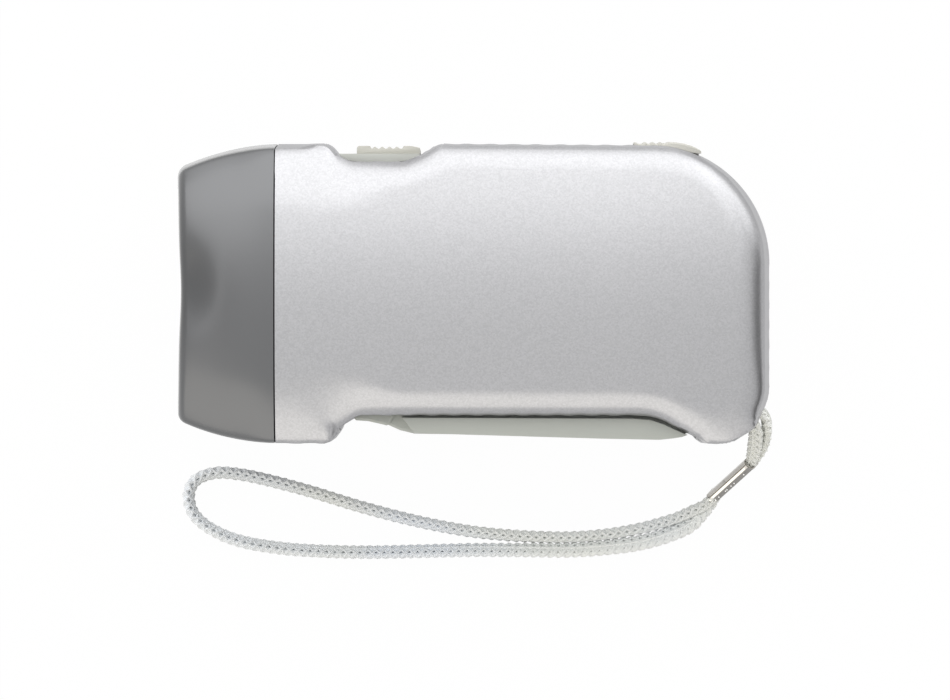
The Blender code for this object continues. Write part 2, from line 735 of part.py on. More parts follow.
def half_solid(name, corners, step, shares, side, inset, start):
    """One half of the body as a closed solid, from the split plane out to its crown."""
    edge = rounded_path(corners, step)
    band = np.array([band_point(x, y, inset) for x, y in edge])
    rows = [(edge, start), (edge, None)]
    spans = np.linalg.norm(band - edge, axis=1)
    for level in [share * EDGE_ROUNDING for share in shares]:
        share = np.minimum(level / spans, 1)[:, None]
        rows.append((edge + (band - edge) * share, None))
    rows.append((band, None))
    work = bmesh.new()
    grid = []
    for row, (points, height) in enumerate(rows):
        if height is None:
            depths = np.zeros(len(points)) if row == 1 else edge_depth(points, corners)
            heights = [half_thickness(x, y, d, inset) for (x, y), d in zip(points, depths)]
        else:
            heights = [height] * len(points)
        line = [
            work.verts.new((x, y, MIDDLE + side * z)) for (x, y), z in zip(points, heights)
        ]
        grid.append(line)
    for low, high in zip(grid, grid[1:]):
        for i in range(len(low) - 1):
            work.faces.new((low[i], low[i + 1], high[i + 1], high[i]))
    bmesh.ops.triangulate(work, faces=work.faces)
    work.faces.new(grid[0])
    work.faces.new(grid[-1])
    work.faces.new([line[0] for line in grid] + [line[-1] for line in reversed(grid)])
    bmesh.ops.remove_doubles(work, verts=work.verts, dist=WELD)
    return mesh_from(work, name)


def shell(name, side):
    """One moulded half of the body, and the hollow that its posts are left standing in."""
    skin = half_solid(name, body_corners(), OUTER_STEP, ROUNDING_SHARES, side, 0, HALF_GAP)
    solid = add_object(name, skin, "silver_paint")
    label = name + "_cavity"
    inside = half_solid(label, cavity_corners(), INNER_STEP, INNER_SHARES, side, WALL, -OVERRUN)
    hollow = add_object(label, inside)
    combine(solid, hollow)
    channel = block(
        name + "_channel",
        (CHANNEL_FRONT_X, BODY_BOTTOM - OVERRUN, MIDDLE - CHANNEL_HALF),
        (CHANNEL_REAR_X, LEVER_TOP_Y, MIDDLE + CHANNEL_HALF),
    )
    combine(solid, channel)
    combine(solid, slot_cut(name + "_switch_slot", *switch_slot()))
    combine(solid, slot_cut(name + "_lock_slot", *lock_slot()))
    through = MIDDLE - side * 2 * OVERRUN
    outside = MIDDLE + side * (HALF_WIDTH + OVERRUN)
    radius = UPPER_POST_RADIUS if side > 0 else LOWER_POST_RADIUS
    for place in BODY_SCREW_PLACES:
        leave_post(hollow, place, radius, through, outside)
    mouth = MIDDLE + side * (CHANNEL_HALF + CLEARANCE / 2)
    leave_post(hollow, LEVER_PIVOT, PIN_BOSS_RADIUS, mouth, outside)
    bore_end = MIDDLE + side * (LEVER_PIN_HALF + CLEARANCE)
    bore = LEVER_PIN_RADIUS + CLEARANCE
    add_bore(solid, LEVER_PIVOT, bore, mouth - side * OVERRUN, bore_end, 16)
    return solid, hollow


def slot_cut(name, front, rear, half_width, low):
    return block(name, (front, low, MIDDLE - half_width), (rear, HALF_HEIGHT, MIDDLE + half_width))


def switch_slot():
    front = KNOB_STEM_X - KNOB_STEM_HALF - KNOB_TRAVEL - 2 * CLEARANCE
    rear = KNOB_STEM_X + KNOB_STEM_HALF + 2 * CLEARANCE
    return front, rear, KNOB_STEM_HALF_WIDTH + CLEARANCE, RECESS_Y - WALL - OVERRUN


def lock_slot():
    front = LOCK_STEM_X - 2 * CLEARANCE
    rear = LOCK_STEM_X + LOCK_STEM_LENGTH + LOCK_TRAVEL + 2 * CLEARANCE
    return front, rear, LOCK_STEM_HALF_WIDTH + CLEARANCE, SHOULDER_TOP - 2 * WALL


def leave_post(hollow, place, radius, end, outside, sides=16):
    """Takes a post out of the hollow, so that the shell keeps it up to the outer skin."""
    low, high = min(end, outside), max(end, outside)
    label = f"{hollow.name}_post_{len(hollow.modifiers)}"
    return combine(hollow, round_bar(label, (*place, low), (*place, high), radius, sides=sides))


def add_post(solid, place, radius, low, high, sides=16):
    label = f"{solid.name}_post_{len(solid.modifiers)}"
    return joined(solid, round_bar(label, (*place, low), (*place, high), radius, sides=sides))


def add_bore(solid, place, radius, low, high, sides=16):
    low, high = min(low, high), max(low, high)
    label = f"{solid.name}_bore_{len(solid.modifiers)}"
    return combine(solid, round_bar(label, (*place, low), (*place, high), radius, sides=sides))


def slot_directions():
    """The way out of the strap's slot, and the way along it."""
    outward = Vector((math.cos(SLOT_DIRECTION), math.sin(SLOT_DIRECTION)))
    return outward, Vector((-outward.y, outward.x))


def lanyard_place():
    mouth = Vector((TAIL_X - SLOT_SETBACK, BODY_BOTTOM + SLOT_RISE))
    return mouth - slot_directions()[0] * LANYARD_DEPTH


def lower_shell():
    solid, hollow = shell("lower_shell", -1)
    outward, along = slot_directions()
    anchor = lanyard_place()
    cut_low = MIDDLE - SLOT_DEPTH
    corners = []
    near, far = LANYARD_DEPTH - WALL - OVERRUN, LANYARD_DEPTH + WALL
    for out, sideways in ((near, -1), (far, -1), (far, 1), (near, 1)):
        corners.append(tuple(anchor + outward * out + along * sideways * SLOT_HALF))
    combine(solid, plate("lower_shell_strap_slot", [corners], cut_low, MIDDLE + OVERRUN))
    leave_post(hollow, anchor, LANYARD_BASE_RADIUS, cut_low, -OVERRUN, 12)
    add_post(solid, anchor, LANYARD_POST_RADIUS, cut_low - WALL, MIDDLE - HALF_GAP, 12)
    for place in BODY_SCREW_PLACES:
        add_bore(solid, place, SCREW_HEAD_RADIUS + CLEARANCE, -OVERRUN, SCREW_SEAT, 20)
        add_bore(solid, place, SCREW_RADIUS + CLEARANCE, SCREW_SEAT - OVERRUN, MIDDLE, 12)
    for place in PILLAR_PLACES:
        leave_post(hollow, place, PILLAR_RADIUS, FRAME_FLOOR - CLEARANCE, -OVERRUN, 12)
    leave_post(hollow, CELL_PLACE, HOLDER_POST_RADIUS, holder_floor() - CLEARANCE, -OVERRUN)
    return solid


def upper_shell():
    solid, hollow = shell("upper_shell", 1)
    outside = TORCH_WIDTH + OVERRUN
    for place in BODY_SCREW_PLACES:
        pilot = SCREW_SEAT + SCREW_LENGTH + OVERRUN
        add_bore(solid, place, SCREW_RADIUS + CLEARANCE, MIDDLE, pilot, 12)
    leave_post(hollow, CELL_PLACE, HOLDER_POST_RADIUS, holder_ceiling() + CLEARANCE, outside)
    x, y = spring_end()
    stop = (x - SPRING_WIRE - CLEARANCE - SPRING_STOP_RADIUS, y + SPRING_SHELL_LEG - SPRING_RADIUS)
    leave_post(hollow, stop, SPRING_STOP_RADIUS, MIDDLE - 2 * OVERRUN, outside, 12)
    return solid


def body_screw(number, place):
    head = SCREW_SEAT - CLEARANCE
    profile = [
        (0, head + SCREW_LENGTH),
        (SCREW_RADIUS / 2, head + SCREW_LENGTH),
        (SCREW_RADIUS, head + SCREW_LENGTH - SCREW_RADIUS),
        (SCREW_RADIUS, head),
        (SCREW_HEAD_RADIUS, head),
        (SCREW_HEAD_RADIUS, head - SCREW_HEAD / 2),
        (SCREW_HEAD_RADIUS / 2, head - SCREW_HEAD),
        (0, head - SCREW_HEAD),
    ]
    return turned(f"body_screw_{number}", profile, (*place, 0), (0, 0, 1), "steel", 12)


# Head
def head_section():
    """The body's section at the joint, as a closed loop of (y, z from the middle)."""
    half = []
    levels = [share * EDGE_ROUNDING for share in ROUNDING_SHARES]
    for edge, sign in ((BODY_TOP, 1), (-FRONT_LOBE_Y, -1)):
        run = [(sign * edge, 0), (sign * edge, strip_half(sign * edge))]
        heights = [sign * (edge - level) for level in levels]
        heights.append((heights[-1] + sign * FLAT_BAND_HALF) / 2)
        heights.append(sign * FLAT_BAND_HALF)
        for y in heights:
            run.append((y, half_thickness(JOINT_X, y, edge - abs(y))))
        half.append(run)
    upper = half[0] + half[1][::-1]
    return upper + [(y, -z) for y, z in upper[-2:0:-1]]


def head_share(x):
    """How far a place lies from the joint to the front of the head."""
    return max((JOINT_X - x) / HEAD_LENGTH, 0) ** HEAD_TAPER_POWER


def head_ring(x, inset, scoop=True):
    """The head's section at x, drawn in by an inset and scooped for a finger on both sides."""
    share = head_share(x)
    top = (BODY_TOP - HEAD_TOP_TAPER * share - inset) / BODY_TOP
    bottom = 1 + (HEAD_BOTTOM_TAPER * share + inset) / FRONT_LOBE_Y
    width = (HALF_WIDTH - HEAD_WIDTH_TAPER * share - inset) / HALF_WIDTH
    reach = smooth_share((LENS_X + SCOOP_LENGTH - x) / SCOOP_LENGTH) if scoop else 0
    ring = []
    for y, z in head_section():
        high = y * (top if y > 0 else bottom)
        fall = math.exp(-(((high - SCOOP_HEIGHT) / SCOOP_HALF) ** 2))
        out = z * width
        if abs(z) > STRIP_TOP_HALF:
            out -= math.copysign(SCOOP_DEPTH * reach * fall, z)
        ring.append((x, high, MIDDLE + out))
    return ring


def loft(name, rings, closed=False):
    """A skin over rings of equal counts, capped at its ends unless the last meets the first."""
    work = bmesh.new()
    grid = [[work.verts.new(point) for point in ring] for ring in rings]
    count = len(grid[0])
    pairs = list(zip(grid, grid[1:]))
    if closed:
        pairs.append((grid[-1], grid[0]))
    for low, high in pairs:
        for i in range(count):
            k = (i + 1) % count
            work.faces.new((low[i], low[k], high[k], high[i]))
    bmesh.ops.triangulate(work, faces=work.faces)
    if not closed:
        work.faces.new(grid[0])
        work.faces.new(grid[-1])
    return mesh_from(work, name)


def dipped(ring):
    """The front rim, drawn back a little at mid height."""
    moved = []
    for x, y, z in ring:
        moved.append((x + RIM_DIP * math.exp(-((y / RIM_DIP_HALF) ** 2)), y, z))
    return moved


def bezel():
    back = JOINT_X - CLEARANCE
    edge = LENS_X + HEAD_EDGE_RADIUS
    depth = back - edge
    rings = [head_ring(back - depth * k / HEAD_STEPS, 0) for k in range(HEAD_STEPS + 1)]
    bend = HEAD_EDGE_RADIUS * (1 - math.cos(math.pi / 4))
    rings.append(dipped(head_ring(LENS_X + bend, bend)))
    rings.append(dipped(head_ring(LENS_X, HEAD_EDGE_RADIUS)))
    rings.append(dipped(head_ring(LENS_X, RIM_WIDTH, False)))
    rings.append(head_ring(LENS_X + RIM_LIP, RIM_WIDTH, False))
    rings.append(head_ring(LENS_X + RIM_LIP, RIM_WIDTH - HEAD_WALL / 2, False))
    rings.append(head_ring(JOINT_X - HEAD_LENGTH / 2, HEAD_WALL + HEAD_WALL / 2, False))
    rings.append(head_ring(back, HEAD_WALL, False))
    obj = add_object("bezel", loft("bezel", rings, True), "smoked_plastic", (JOINT_X, 0, MIDDLE))
    for label, top, sign in (("upper", BODY_TOP, 1), ("lower", -FRONT_LOBE_Y, -1)):
        inner = top - WALL - CLEARANCE
        low = inner - TONGUE_THICKNESS
        outline = [
            (back - TONGUE_ROOT, sign * (top - HEAD_WALL / 2)),
            (back - TONGUE_ROOT, sign * low),
            (JOINT_X + TONGUE_REACH, sign * low),
            (JOINT_X + TONGUE_REACH, sign * inner),
            (back - CLEARANCE, sign * inner),
            (back - CLEARANCE, sign * (top - HEAD_WALL / 2)),
        ]
        tongue = plate(
            f"bezel_tongue_{label}", [outline], MIDDLE - TONGUE_HALF, MIDDLE + TONGUE_HALF
        )
        joined(obj, tongue)
    return obj


def lens_front():
    return LENS_X + RIM_LIP + CLEARANCE


def seat_inset():
    return RIM_WIDTH - HEAD_WALL / 2 + CLEARANCE


def lens():
    front = lens_front()
    back = front + LENS_THICKNESS
    inset = seat_inset()
    rings = [
        head_ring(front, inset + RIM_LIP, False),
        head_ring(front + LENS_CROWN, inset, False),
        head_ring(back, inset, False),
    ]
    return add_object("lens", loft("lens", rings), "clear_plastic", (front, 0, MIDDLE))


def led_places():
    places = []
    for k in range(LEDS):
        angle = math.pi / 2 + math.tau * k / LEDS
        across = LED_CIRCLE_RADIUS * math.cos(angle)
        places.append((LED_CIRCLE_RADIUS * math.sin(angle), MIDDLE + across))
    return places


def reflector_front():
    return lens_front() + LENS_THICKNESS + CLEARANCE


def reflector_back():
    return reflector_front() + REFLECTOR_DEPTH


def reflector():
    front = reflector_front()
    back = reflector_back()
    inset = seat_inset() + CLEARANCE * 2
    flange = front + REFLECTOR_RIM
    waist = head_ring(flange, inset + REFLECTOR_STEP, False)
    high = max(point[1] for point in waist)
    wide = max(point[2] for point in waist) - MIDDLE
    tail = []
    for x, y, z in waist:
        tail.append(
            (back, y * REFLECTOR_BACK_HEIGHT / high,
             MIDDLE + (z - MIDDLE) * REFLECTOR_BACK_WIDTH / wide)
        )
    rings = [head_ring(front, inset, False), head_ring(flange, inset, False), waist, tail]
    obj = add_object("reflector", loft("reflector", rings), "mirror_plastic", (front, 0, MIDDLE))
    for number, (y, z) in enumerate(led_places(), 1):
        mouth = front - OVERRUN
        deep = front + CUP_DEPTH
        slope = (CUP_RADIUS - LED_HOLE_RADIUS) / CUP_DEPTH
        cup = round_bar(
            f"reflector_cup_{number}", (mouth, y, z), (deep, y, z),
            CUP_RADIUS + slope * OVERRUN, sides=18, end_radius=LED_HOLE_RADIUS,
        )
        combine(obj, cup)
        hole = round_bar(
            f"reflector_hole_{number}", (deep - OVERRUN, y, z), (back + OVERRUN, y, z),
            LED_HOLE_RADIUS, sides=18,
        )
        combine(obj, hole)
    for number, side in enumerate((-1, 1), 1):
        place = (LED_SCREW_HEIGHT, MIDDLE + side * LED_SCREW_SIDE)
        bore = round_bar(
            f"reflector_screw_hole_{number}", (back - LED_SCREW_HEIGHT, *place),
            (back + OVERRUN, *place), FRAME_SCREW_RADIUS + CLEARANCE, sides=10,
        )
        combine(obj, bore)
    return obj


def led_board_front():
    return reflector_back() + CLEARANCE + LED_FLANGE + CLEARANCE


def led(number, y, z):
    base = led_board_front() - CLEARANCE
    dome = LED_LENGTH - LED_RADIUS
    profile = [(0, LED_LENGTH)]
    for k in range(1, 4):
        angle = math.pi / 2 * k / 3
        profile.append((LED_RADIUS * math.sin(angle), dome + LED_RADIUS * math.cos(angle)))
    profile += [
        (LED_RADIUS, LED_FLANGE),
        (LED_FLANGE_RADIUS, LED_FLANGE),
        (LED_FLANGE_RADIUS, 0),
        (0, 0),
    ]
    return turned(f"led_{number}", profile, (base, y, z), (-1, 0, 0), "led_resin", 12)


def led_board():
    front = led_board_front()
    centre = (front, 0, MIDDLE)
    end = (front + BOARD_THICKNESS, 0, MIDDLE)
    obj = round_bar("led_board", centre, end, LED_BOARD_RADIUS, "circuit_board", 28)
    for number, side in enumerate((-1, 1), 1):
        place = (LED_SCREW_HEIGHT, MIDDLE + side * LED_SCREW_SIDE)
        hole = round_bar(
            f"led_board_hole_{number}", (front - OVERRUN, *place),
            (front + 2 * BOARD_THICKNESS, *place), FRAME_SCREW_RADIUS + CLEARANCE, sides=10,
        )
        combine(obj, hole)
        face = front + BOARD_THICKNESS + CLEARANCE
        small_screw(f"led_board_screw_{number}", (face, *place), (1, 0, 0))
    return obj


def small_screw(name, face, outward):
    """A pan head screw whose head rests on a face and whose shank goes in behind it."""
    head = FRAME_SCREW_HEAD
    wide = 2 * FRAME_SCREW_RADIUS
    profile = [
        (0, head),
        (wide / 2, head),
        (wide, head / 2),
        (wide, 0),
        (FRAME_SCREW_RADIUS, 0),
        (FRAME_SCREW_RADIUS, FRAME_SCREW_RADIUS - FRAME_SCREW_LENGTH),
        (0, -FRAME_SCREW_LENGTH),
    ]
    return turned(name, profile, face, outward, "steel", 10)


# Lever
def grip_line():
    """The lever's outer line from its ramp's foot to the tip at the tail."""
    bend = (GRIP_REAR_X + GRIP_TIP_X) / 2
    return [
        (RAMP_X, RAMP_Y),
        (GRIP_MIDDLE_X, GRIP_MIDDLE_Y),
        (GRIP_REAR_X, GRIP_Y),
        (bend, GRIP_Y + CLEARANCE),
        (GRIP_TIP_X, GRIP_TIP_Y),
    ]


def lever():
    px, py = LEVER_PIVOT
    nose = px - NOSE_REACH
    boss = circle(LEVER_PIVOT, LEVER_BOSS_RADIUS, 16)[:9]
    outer = boss + [(nose, NOSE_TOP_Y), (nose, BODY_BOTTOM + NOSE_BOTTOM_RISE)] + grip_line()
    outer += [(LEVER_END_X, CHANNEL_REAR_Y), (LEVER_END_X, LEVER_TOP_Y)]
    low, high = MIDDLE - LEVER_HALF_WIDTH, MIDDLE + LEVER_HALF_WIDTH
    obj = plate("lever", [outer], low, high, "lever_plastic", LEVER_PIVOT)
    under = 2 * CLEARANCE
    front_top = CHANNEL_FRONT_Y - under
    slope = (GRIP_FRONT_X + (RAMP_X - GRIP_FRONT_X) * GRIP_RAMP_SHARE, (front_top + RAMP_Y) / 2)
    grip = [(GRIP_FRONT_X, front_top), slope] + grip_line()
    grip.append((GRIP_REAR_X, CHANNEL_REAR_Y - under))
    flange = plate("lever_grip", [grip], MIDDLE - GRIP_HALF_WIDTH, MIDDLE + GRIP_HALF_WIDTH)
    joined(obj, flange)
    above = LEVER_TOP_Y + LEVER_BOSS_RADIUS + OVERRUN
    beyond = LEVER_END_X + OVERRUN
    hollow = [(px - LEVER_BOSS_RADIUS, above), (px - LEVER_BOSS_RADIUS, NOSE_TOP_Y + CLEARANCE)]
    hollow += [(x, y + LEVER_SKIN) for x, y in grip_line()[:3]]
    hollow += [(beyond, GRIP_TIP_Y + LEVER_SKIN), (beyond, above)]
    inner = LEVER_HALF_WIDTH - LEVER_WALL
    combine(obj, plate("lever_hollow", [hollow], MIDDLE - inner, MIDDLE + inner))
    ledge = block(
        "lever_ledge",
        (LEVER_END_X - LEDGE_LENGTH, LEVER_TOP_Y - LEDGE_THICKNESS, low + LEVER_WALL / 2),
        (LEVER_END_X, LEVER_TOP_Y, high - LEVER_WALL / 2),
    )
    joined(obj, ledge)
    bore = LEVER_PIN_RADIUS + CLEARANCE
    return add_bore(obj, LEVER_PIVOT, bore, low - OVERRUN, high + OVERRUN)


def lever_pin():
    low, high = MIDDLE - LEVER_PIN_HALF, MIDDLE + LEVER_PIN_HALF
    return round_bar(
        "lever_pin", (*LEVER_PIVOT, low), (*LEVER_PIVOT, high), LEVER_PIN_RADIUS, "steel", 16
    )


def spring_end():
    """The middle of the wire where the shell's leg leaves the coil."""
    return LEVER_PIVOT[0] - SPRING_RADIUS, LEVER_PIVOT[1]


def return_spring():
    """A torsion spring on the lever's pin, one leg in the lever and one up to the shell."""
    px, py = LEVER_PIVOT
    rise = NOSE_TOP_Y + CLEARANCE - RAMP_Y - LEVER_SKIN
    floor = math.atan2(rise, RAMP_X - px + LEVER_BOSS_RADIUS)
    start = -math.pi / 2 - floor
    sweep = math.pi + start + math.tau * (SPRING_TURNS - 1)
    per_turn = 8
    count = per_turn * SPRING_TURNS
    turns = []
    for k in range(count + 1):
        angle = start - sweep * k / count
        height = SPRING_LOW + SPRING_PITCH * SPRING_TURNS * k / count
        turns.append(
            (px + SPRING_RADIUS * math.cos(angle), py + SPRING_RADIUS * math.sin(angle), height)
        )
    foot, head = turns[0], turns[-1]
    leg, stay = [], []
    for share in LEG_SHARES:
        run = SPRING_LEVER_LEG * share
        leg.append((foot[0] + run * math.cos(floor), foot[1] - run * math.sin(floor), foot[2]))
        stay.append((head[0], head[1] + SPRING_SHELL_LEG * (1 + LEG_SHARES[-1] - share), head[2]))
    least = min(
        (Vector(a) - Vector(b)).length - 2 * SPRING_WIRE
        for i, a in enumerate(turns)
        for b in turns[i + per_turn // 2:]
    )
    print(f"return spring: least gap between its turns {least * 1000:.2f} mm")
    place = (px, py, SPRING_LOW)
    return tube("return_spring", leg + turns + stay, SPRING_WIRE, "steel", 1, place)


# Gears
def flank_points(teeth, module, slack):
    """One tooth about the +X direction; a large wheel's flanks are near enough straight."""
    pitch = module * teeth / 2
    base = pitch * math.cos(PRESSURE_ANGLE)
    root = pitch - DEDENDUM_SHARE * module
    tip = pitch + ADDENDUM_SHARE * module
    half = math.pi / (2 * teeth) - slack / (2 * pitch)
    start = half + math.tan(PRESSURE_ANGLE) - PRESSURE_ANGLE
    side = []
    radii = (max(root, base), tip) if teeth > STRAIGHT_FLANK_TEETH else (max(root, base), pitch, tip)
    for radius in radii:
        press = math.acos(min(base / radius, 1))
        side.append((radius, start - (math.tan(press) - press)))
    if root < base:
        side[0] = (root, side[0][1])
    lower = [(r, -a) for r, a in side]
    return lower + side[::-1]


def gear_outline(centre, teeth, module, slack=BACKLASH, turn=0.0, count=None):
    """The outline of a wheel, or of some of its teeth in a row."""
    tooth = flank_points(teeth, module, slack)
    points = []
    for k in range(count or teeth):
        offset = turn + math.tau * k / teeth
        points += [
            (centre[0] + r * math.cos(a + offset), centre[1] + r * math.sin(a + offset))
            for r, a in tooth
        ]
    return points


def mesh_turn(driver_turn, driver_teeth, driven_teeth, direction):
    """The turn that puts a gap of the driven wheel opposite a tooth of its driver."""
    phase = (direction - driver_turn) * driver_teeth / math.tau
    shift = (phase - math.floor(phase)) * math.tau / driven_teeth
    return direction + math.pi + math.pi / driven_teeth + shift


def sector_turn():
    span = math.tau * (SECTOR_CUT_TEETH - 1) / SECTOR_TEETH
    return SECTOR_DIRECTION - span / 2


def sector_gear():
    px, py = LEVER_PIVOT
    teeth = gear_outline(
        LEVER_PIVOT, SECTOR_TEETH, SECTOR_MODULE, turn=sector_turn(), count=SECTOR_CUT_TEETH
    )
    half = math.tau * SECTOR_CUT_TEETH / SECTOR_TEETH / 2
    pitch = SECTOR_MODULE * SECTOR_TEETH / 2
    root = pitch - DEDENDUM_SHARE * SECTOR_MODULE
    start, end = SECTOR_DIRECTION - half, SECTOR_DIRECTION + half
    foot = [(px + root * math.cos(start), py + root * math.sin(start))]
    head = [(px + root * math.cos(end), py + root * math.sin(end))]
    hub = []
    for k in range(9):
        angle = end + math.pi / 6 + (math.tau - 2 * half - math.pi / 3) * k / 8
        hub.append(
            (px + SECTOR_HUB_RADIUS * math.cos(angle), py + SECTOR_HUB_RADIUS * math.sin(angle))
        )
    low, high = SECTOR_FLOOR, SECTOR_FLOOR + SECTOR_THICKNESS
    obj = plate("sector_gear", [foot + teeth + head + hub], low, high, "white_plastic", LEVER_PIVOT)
    bore = LEVER_PIN_RADIUS + CLEARANCE
    return add_bore(obj, LEVER_PIVOT, bore, low - OVERRUN, high + OVERRUN, 16)


def pinion_floor():
    return SECTOR_FLOOR


def first_wheel_floor():
    return pinion_floor() + PINION_THICKNESS


def second_wheel_floor():
    return first_wheel_floor() + WHEEL_THICKNESS + LAYER_GAP * 2


def rotor_floor():
    return second_wheel_floor() + WHEEL_THICKNESS + LAYER_GAP


def two_step_gear(name, axis, pinion, wheel, pinion_span, wheel_span):
    """A pinion and a wheel moulded as one, bored for their axle."""
    obj = plate(name, [wheel], *wheel_span, "white_plastic", axis)
    joined(obj, plate(name + "_pinion", [pinion], *pinion_span))
    low = min(pinion_span[0], wheel_span[0]) - OVERRUN
    high = max(pinion_span[1], wheel_span[1]) + OVERRUN
    return add_bore(obj, axis, AXLE_RADIUS + CLEARANCE, low, high, 12)


def first_turn():
    return mesh_turn(sector_turn(), SECTOR_TEETH, FIRST_PINION_TEETH, FIRST_DIRECTION)


def second_turn():
    return mesh_turn(first_turn(), FIRST_WHEEL_TEETH, SECOND_PINION_TEETH, SECOND_DIRECTION)


def rotor_turn():
    return mesh_turn(second_turn(), SECOND_WHEEL_TEETH, ROTOR_PINION_TEETH, ROTOR_DIRECTION)


def first_gear():
    pinion = gear_outline(FIRST_AXIS, FIRST_PINION_TEETH, SECTOR_MODULE, turn=first_turn())
    wheel = gear_outline(FIRST_AXIS, FIRST_WHEEL_TEETH, WHEEL_MODULE, turn=first_turn())
    floor = first_wheel_floor()
    return two_step_gear(
        "first_gear", FIRST_AXIS, pinion, wheel,
        (pinion_floor(), floor + WHEEL_THICKNESS / 2), (floor, floor + WHEEL_THICKNESS),
    )


def second_gear():
    pinion = gear_outline(SECOND_AXIS, SECOND_PINION_TEETH, WHEEL_MODULE, turn=second_turn())
    wheel = gear_outline(SECOND_AXIS, SECOND_WHEEL_TEETH, ROTOR_MODULE, turn=second_turn())
    floor = second_wheel_floor()
    return two_step_gear(
        "second_gear", SECOND_AXIS, pinion, wheel,
        (first_wheel_floor() - LAYER_GAP, floor + WHEEL_THICKNESS / 2),
        (floor, floor + WHEEL_THICKNESS),
    )


def rotor_pinion():
    low = second_wheel_floor() - LAYER_GAP
    high = rotor_floor()
    outline = gear_outline(ROTOR_AXIS, ROTOR_PINION_TEETH, ROTOR_MODULE, turn=rotor_turn())
    obj = plate("rotor_pinion", [outline], low, high, "white_plastic", ROTOR_AXIS)
    return add_bore(obj, ROTOR_AXIS, AXLE_RADIUS + CLEARANCE, low - OVERRUN, high + OVERRUN, 12)


def frame_top():
    return FRAME_FLOOR + FRAME_HEIGHT


def axle(name, axis):
    low, high = FRAME_FLOOR, frame_top()
    return round_bar(name, (*axis, low), (*axis, high), AXLE_RADIUS, "steel", 12)


def ring_disc(name, low, high, radius, finish, sides=28):
    obj = round_bar(name, (*ROTOR_AXIS, low), (*ROTOR_AXIS, high), radius, finish, sides)
    return add_bore(obj, ROTOR_AXIS, AXLE_RADIUS + CLEARANCE, low - OVERRUN, high + OVERRUN, 12)


def core_floor():
    return rotor_floor() + CLEARANCE


def rotor_magnet():
    low = core_floor()
    return ring_disc("rotor_magnet", low, low + MAGNET_HEIGHT, MAGNET_RADIUS, "magnet")


def flywheel():
    low = core_floor() + MAGNET_HEIGHT + CLEARANCE
    obj = ring_disc("flywheel", low, low + FLYWHEEL_HEIGHT, FLYWHEEL_RADIUS, "steel", 32)
    face = low + FLYWHEEL_HEIGHT
    dish = face - FLYWHEEL_HEIGHT / 3
    ring = [
        circle(ROTOR_AXIS, FLYWHEEL_RADIUS - FLYWHEEL_HUB / 2, 28),
        circle(ROTOR_AXIS, FLYWHEEL_HUB, 16),
    ]
    return combine(obj, plate("flywheel_dish", ring, dish, face + OVERRUN))


def core_outline():
    """The stator's U, its two arms ending in shoes beside the magnet."""
    x, y = ROTOR_AXIS
    left, right = x - CORE_HALF, x + CORE_HALF
    foot, leg = y - CORE_DROP, y - CORE_DROP + CORE_LEG
    reach = CORE_HALF - MAGNET_RADIUS / 2
    return [
        (left, foot),
        (right, foot),
        (right, y + SHOE_RISE),
        (x + reach, y + SHOE_RISE),
        (x + reach, y - SHOE_DROP),
        (right - CORE_LEG, y - SHOE_DROP - CORE_LEG),
        (right - CORE_LEG, leg),
        (left + CORE_LEG, leg),
        (left + CORE_LEG, y - SHOE_DROP - CORE_LEG),
        (x - reach, y - SHOE_DROP),
        (x - reach, y + SHOE_RISE),
        (left, y + SHOE_RISE),
    ]


def stator_core():
    low = core_floor()
    high = low + MAGNET_HEIGHT
    obj = plate("stator_core", [core_outline()], low, high, "steel", ROTOR_AXIS)
    return add_bore(obj, ROTOR_AXIS, SHOE_RADIUS, low - OVERRUN, high + OVERRUN, 32)


def coil_centre():
    x, y = ROTOR_AXIS
    return (x, y - CORE_DROP + CORE_LEG / 2, core_floor() + MAGNET_HEIGHT / 2)


def sleeve(name, half_length, outer, inner, finish=None):
    """A square tube along X round the coil's centre, its outer and inner halves as (y, z)."""
    x, y, z = coil_centre()
    obj = block(
        name,
        (x - half_length, y - outer[0], z - outer[1]),
        (x + half_length, y + outer[0], z + outer[1]),
        finish,
    )
    hole = block(
        name + "_hole",
        (x - half_length - OVERRUN, y - inner[0], z - inner[1]),
        (x + half_length + OVERRUN, y + inner[0], z + inner[1]),
    )
    return combine(obj, hole)


def bobbin_halves():
    inner = (CORE_LEG / 2 + CLEARANCE, MAGNET_HEIGHT / 2 + CLEARANCE)
    outer = (inner[0] + BOBBIN_WALL, inner[1] + BOBBIN_WALL)
    return inner, outer


def coil_bobbin():
    inner, outer = bobbin_halves()
    x, y, z = coil_centre()
    obj = block(
        "coil_bobbin",
        (x - BOBBIN_HALF, y - outer[0], z - outer[1]),
        (x + BOBBIN_HALF, y + outer[0], z + outer[1]),
        "black_plastic",
    )
    for side in (-1, 1):
        near = x + side * (BOBBIN_HALF - BOBBIN_FLANGE)
        far = x + side * (BOBBIN_HALF + CLEARANCE)
        flange = block(
            f"coil_bobbin_flange_{side + 2}",
            (min(near, far), y - BOBBIN_FLANGE_HALF, z - BOBBIN_FLANGE_HALF),
            (max(near, far), y + BOBBIN_FLANGE_HALF, z + BOBBIN_FLANGE_HALF),
        )
        joined(obj, flange)
    hole = block(
        "coil_bobbin_hole",
        (x - BOBBIN_HALF - OVERRUN, y - inner[0], z - inner[1]),
        (x + BOBBIN_HALF + OVERRUN, y + inner[0], z + inner[1]),
    )
    return combine(obj, hole)


def coil_winding():
    outer = bobbin_halves()[1]
    inner = (outer[0] + CLEARANCE, outer[1] + CLEARANCE)
    half = BOBBIN_HALF - BOBBIN_FLANGE - CLEARANCE
    return sleeve("coil_winding", half, (COIL_HALF, COIL_HALF), inner, "copper")


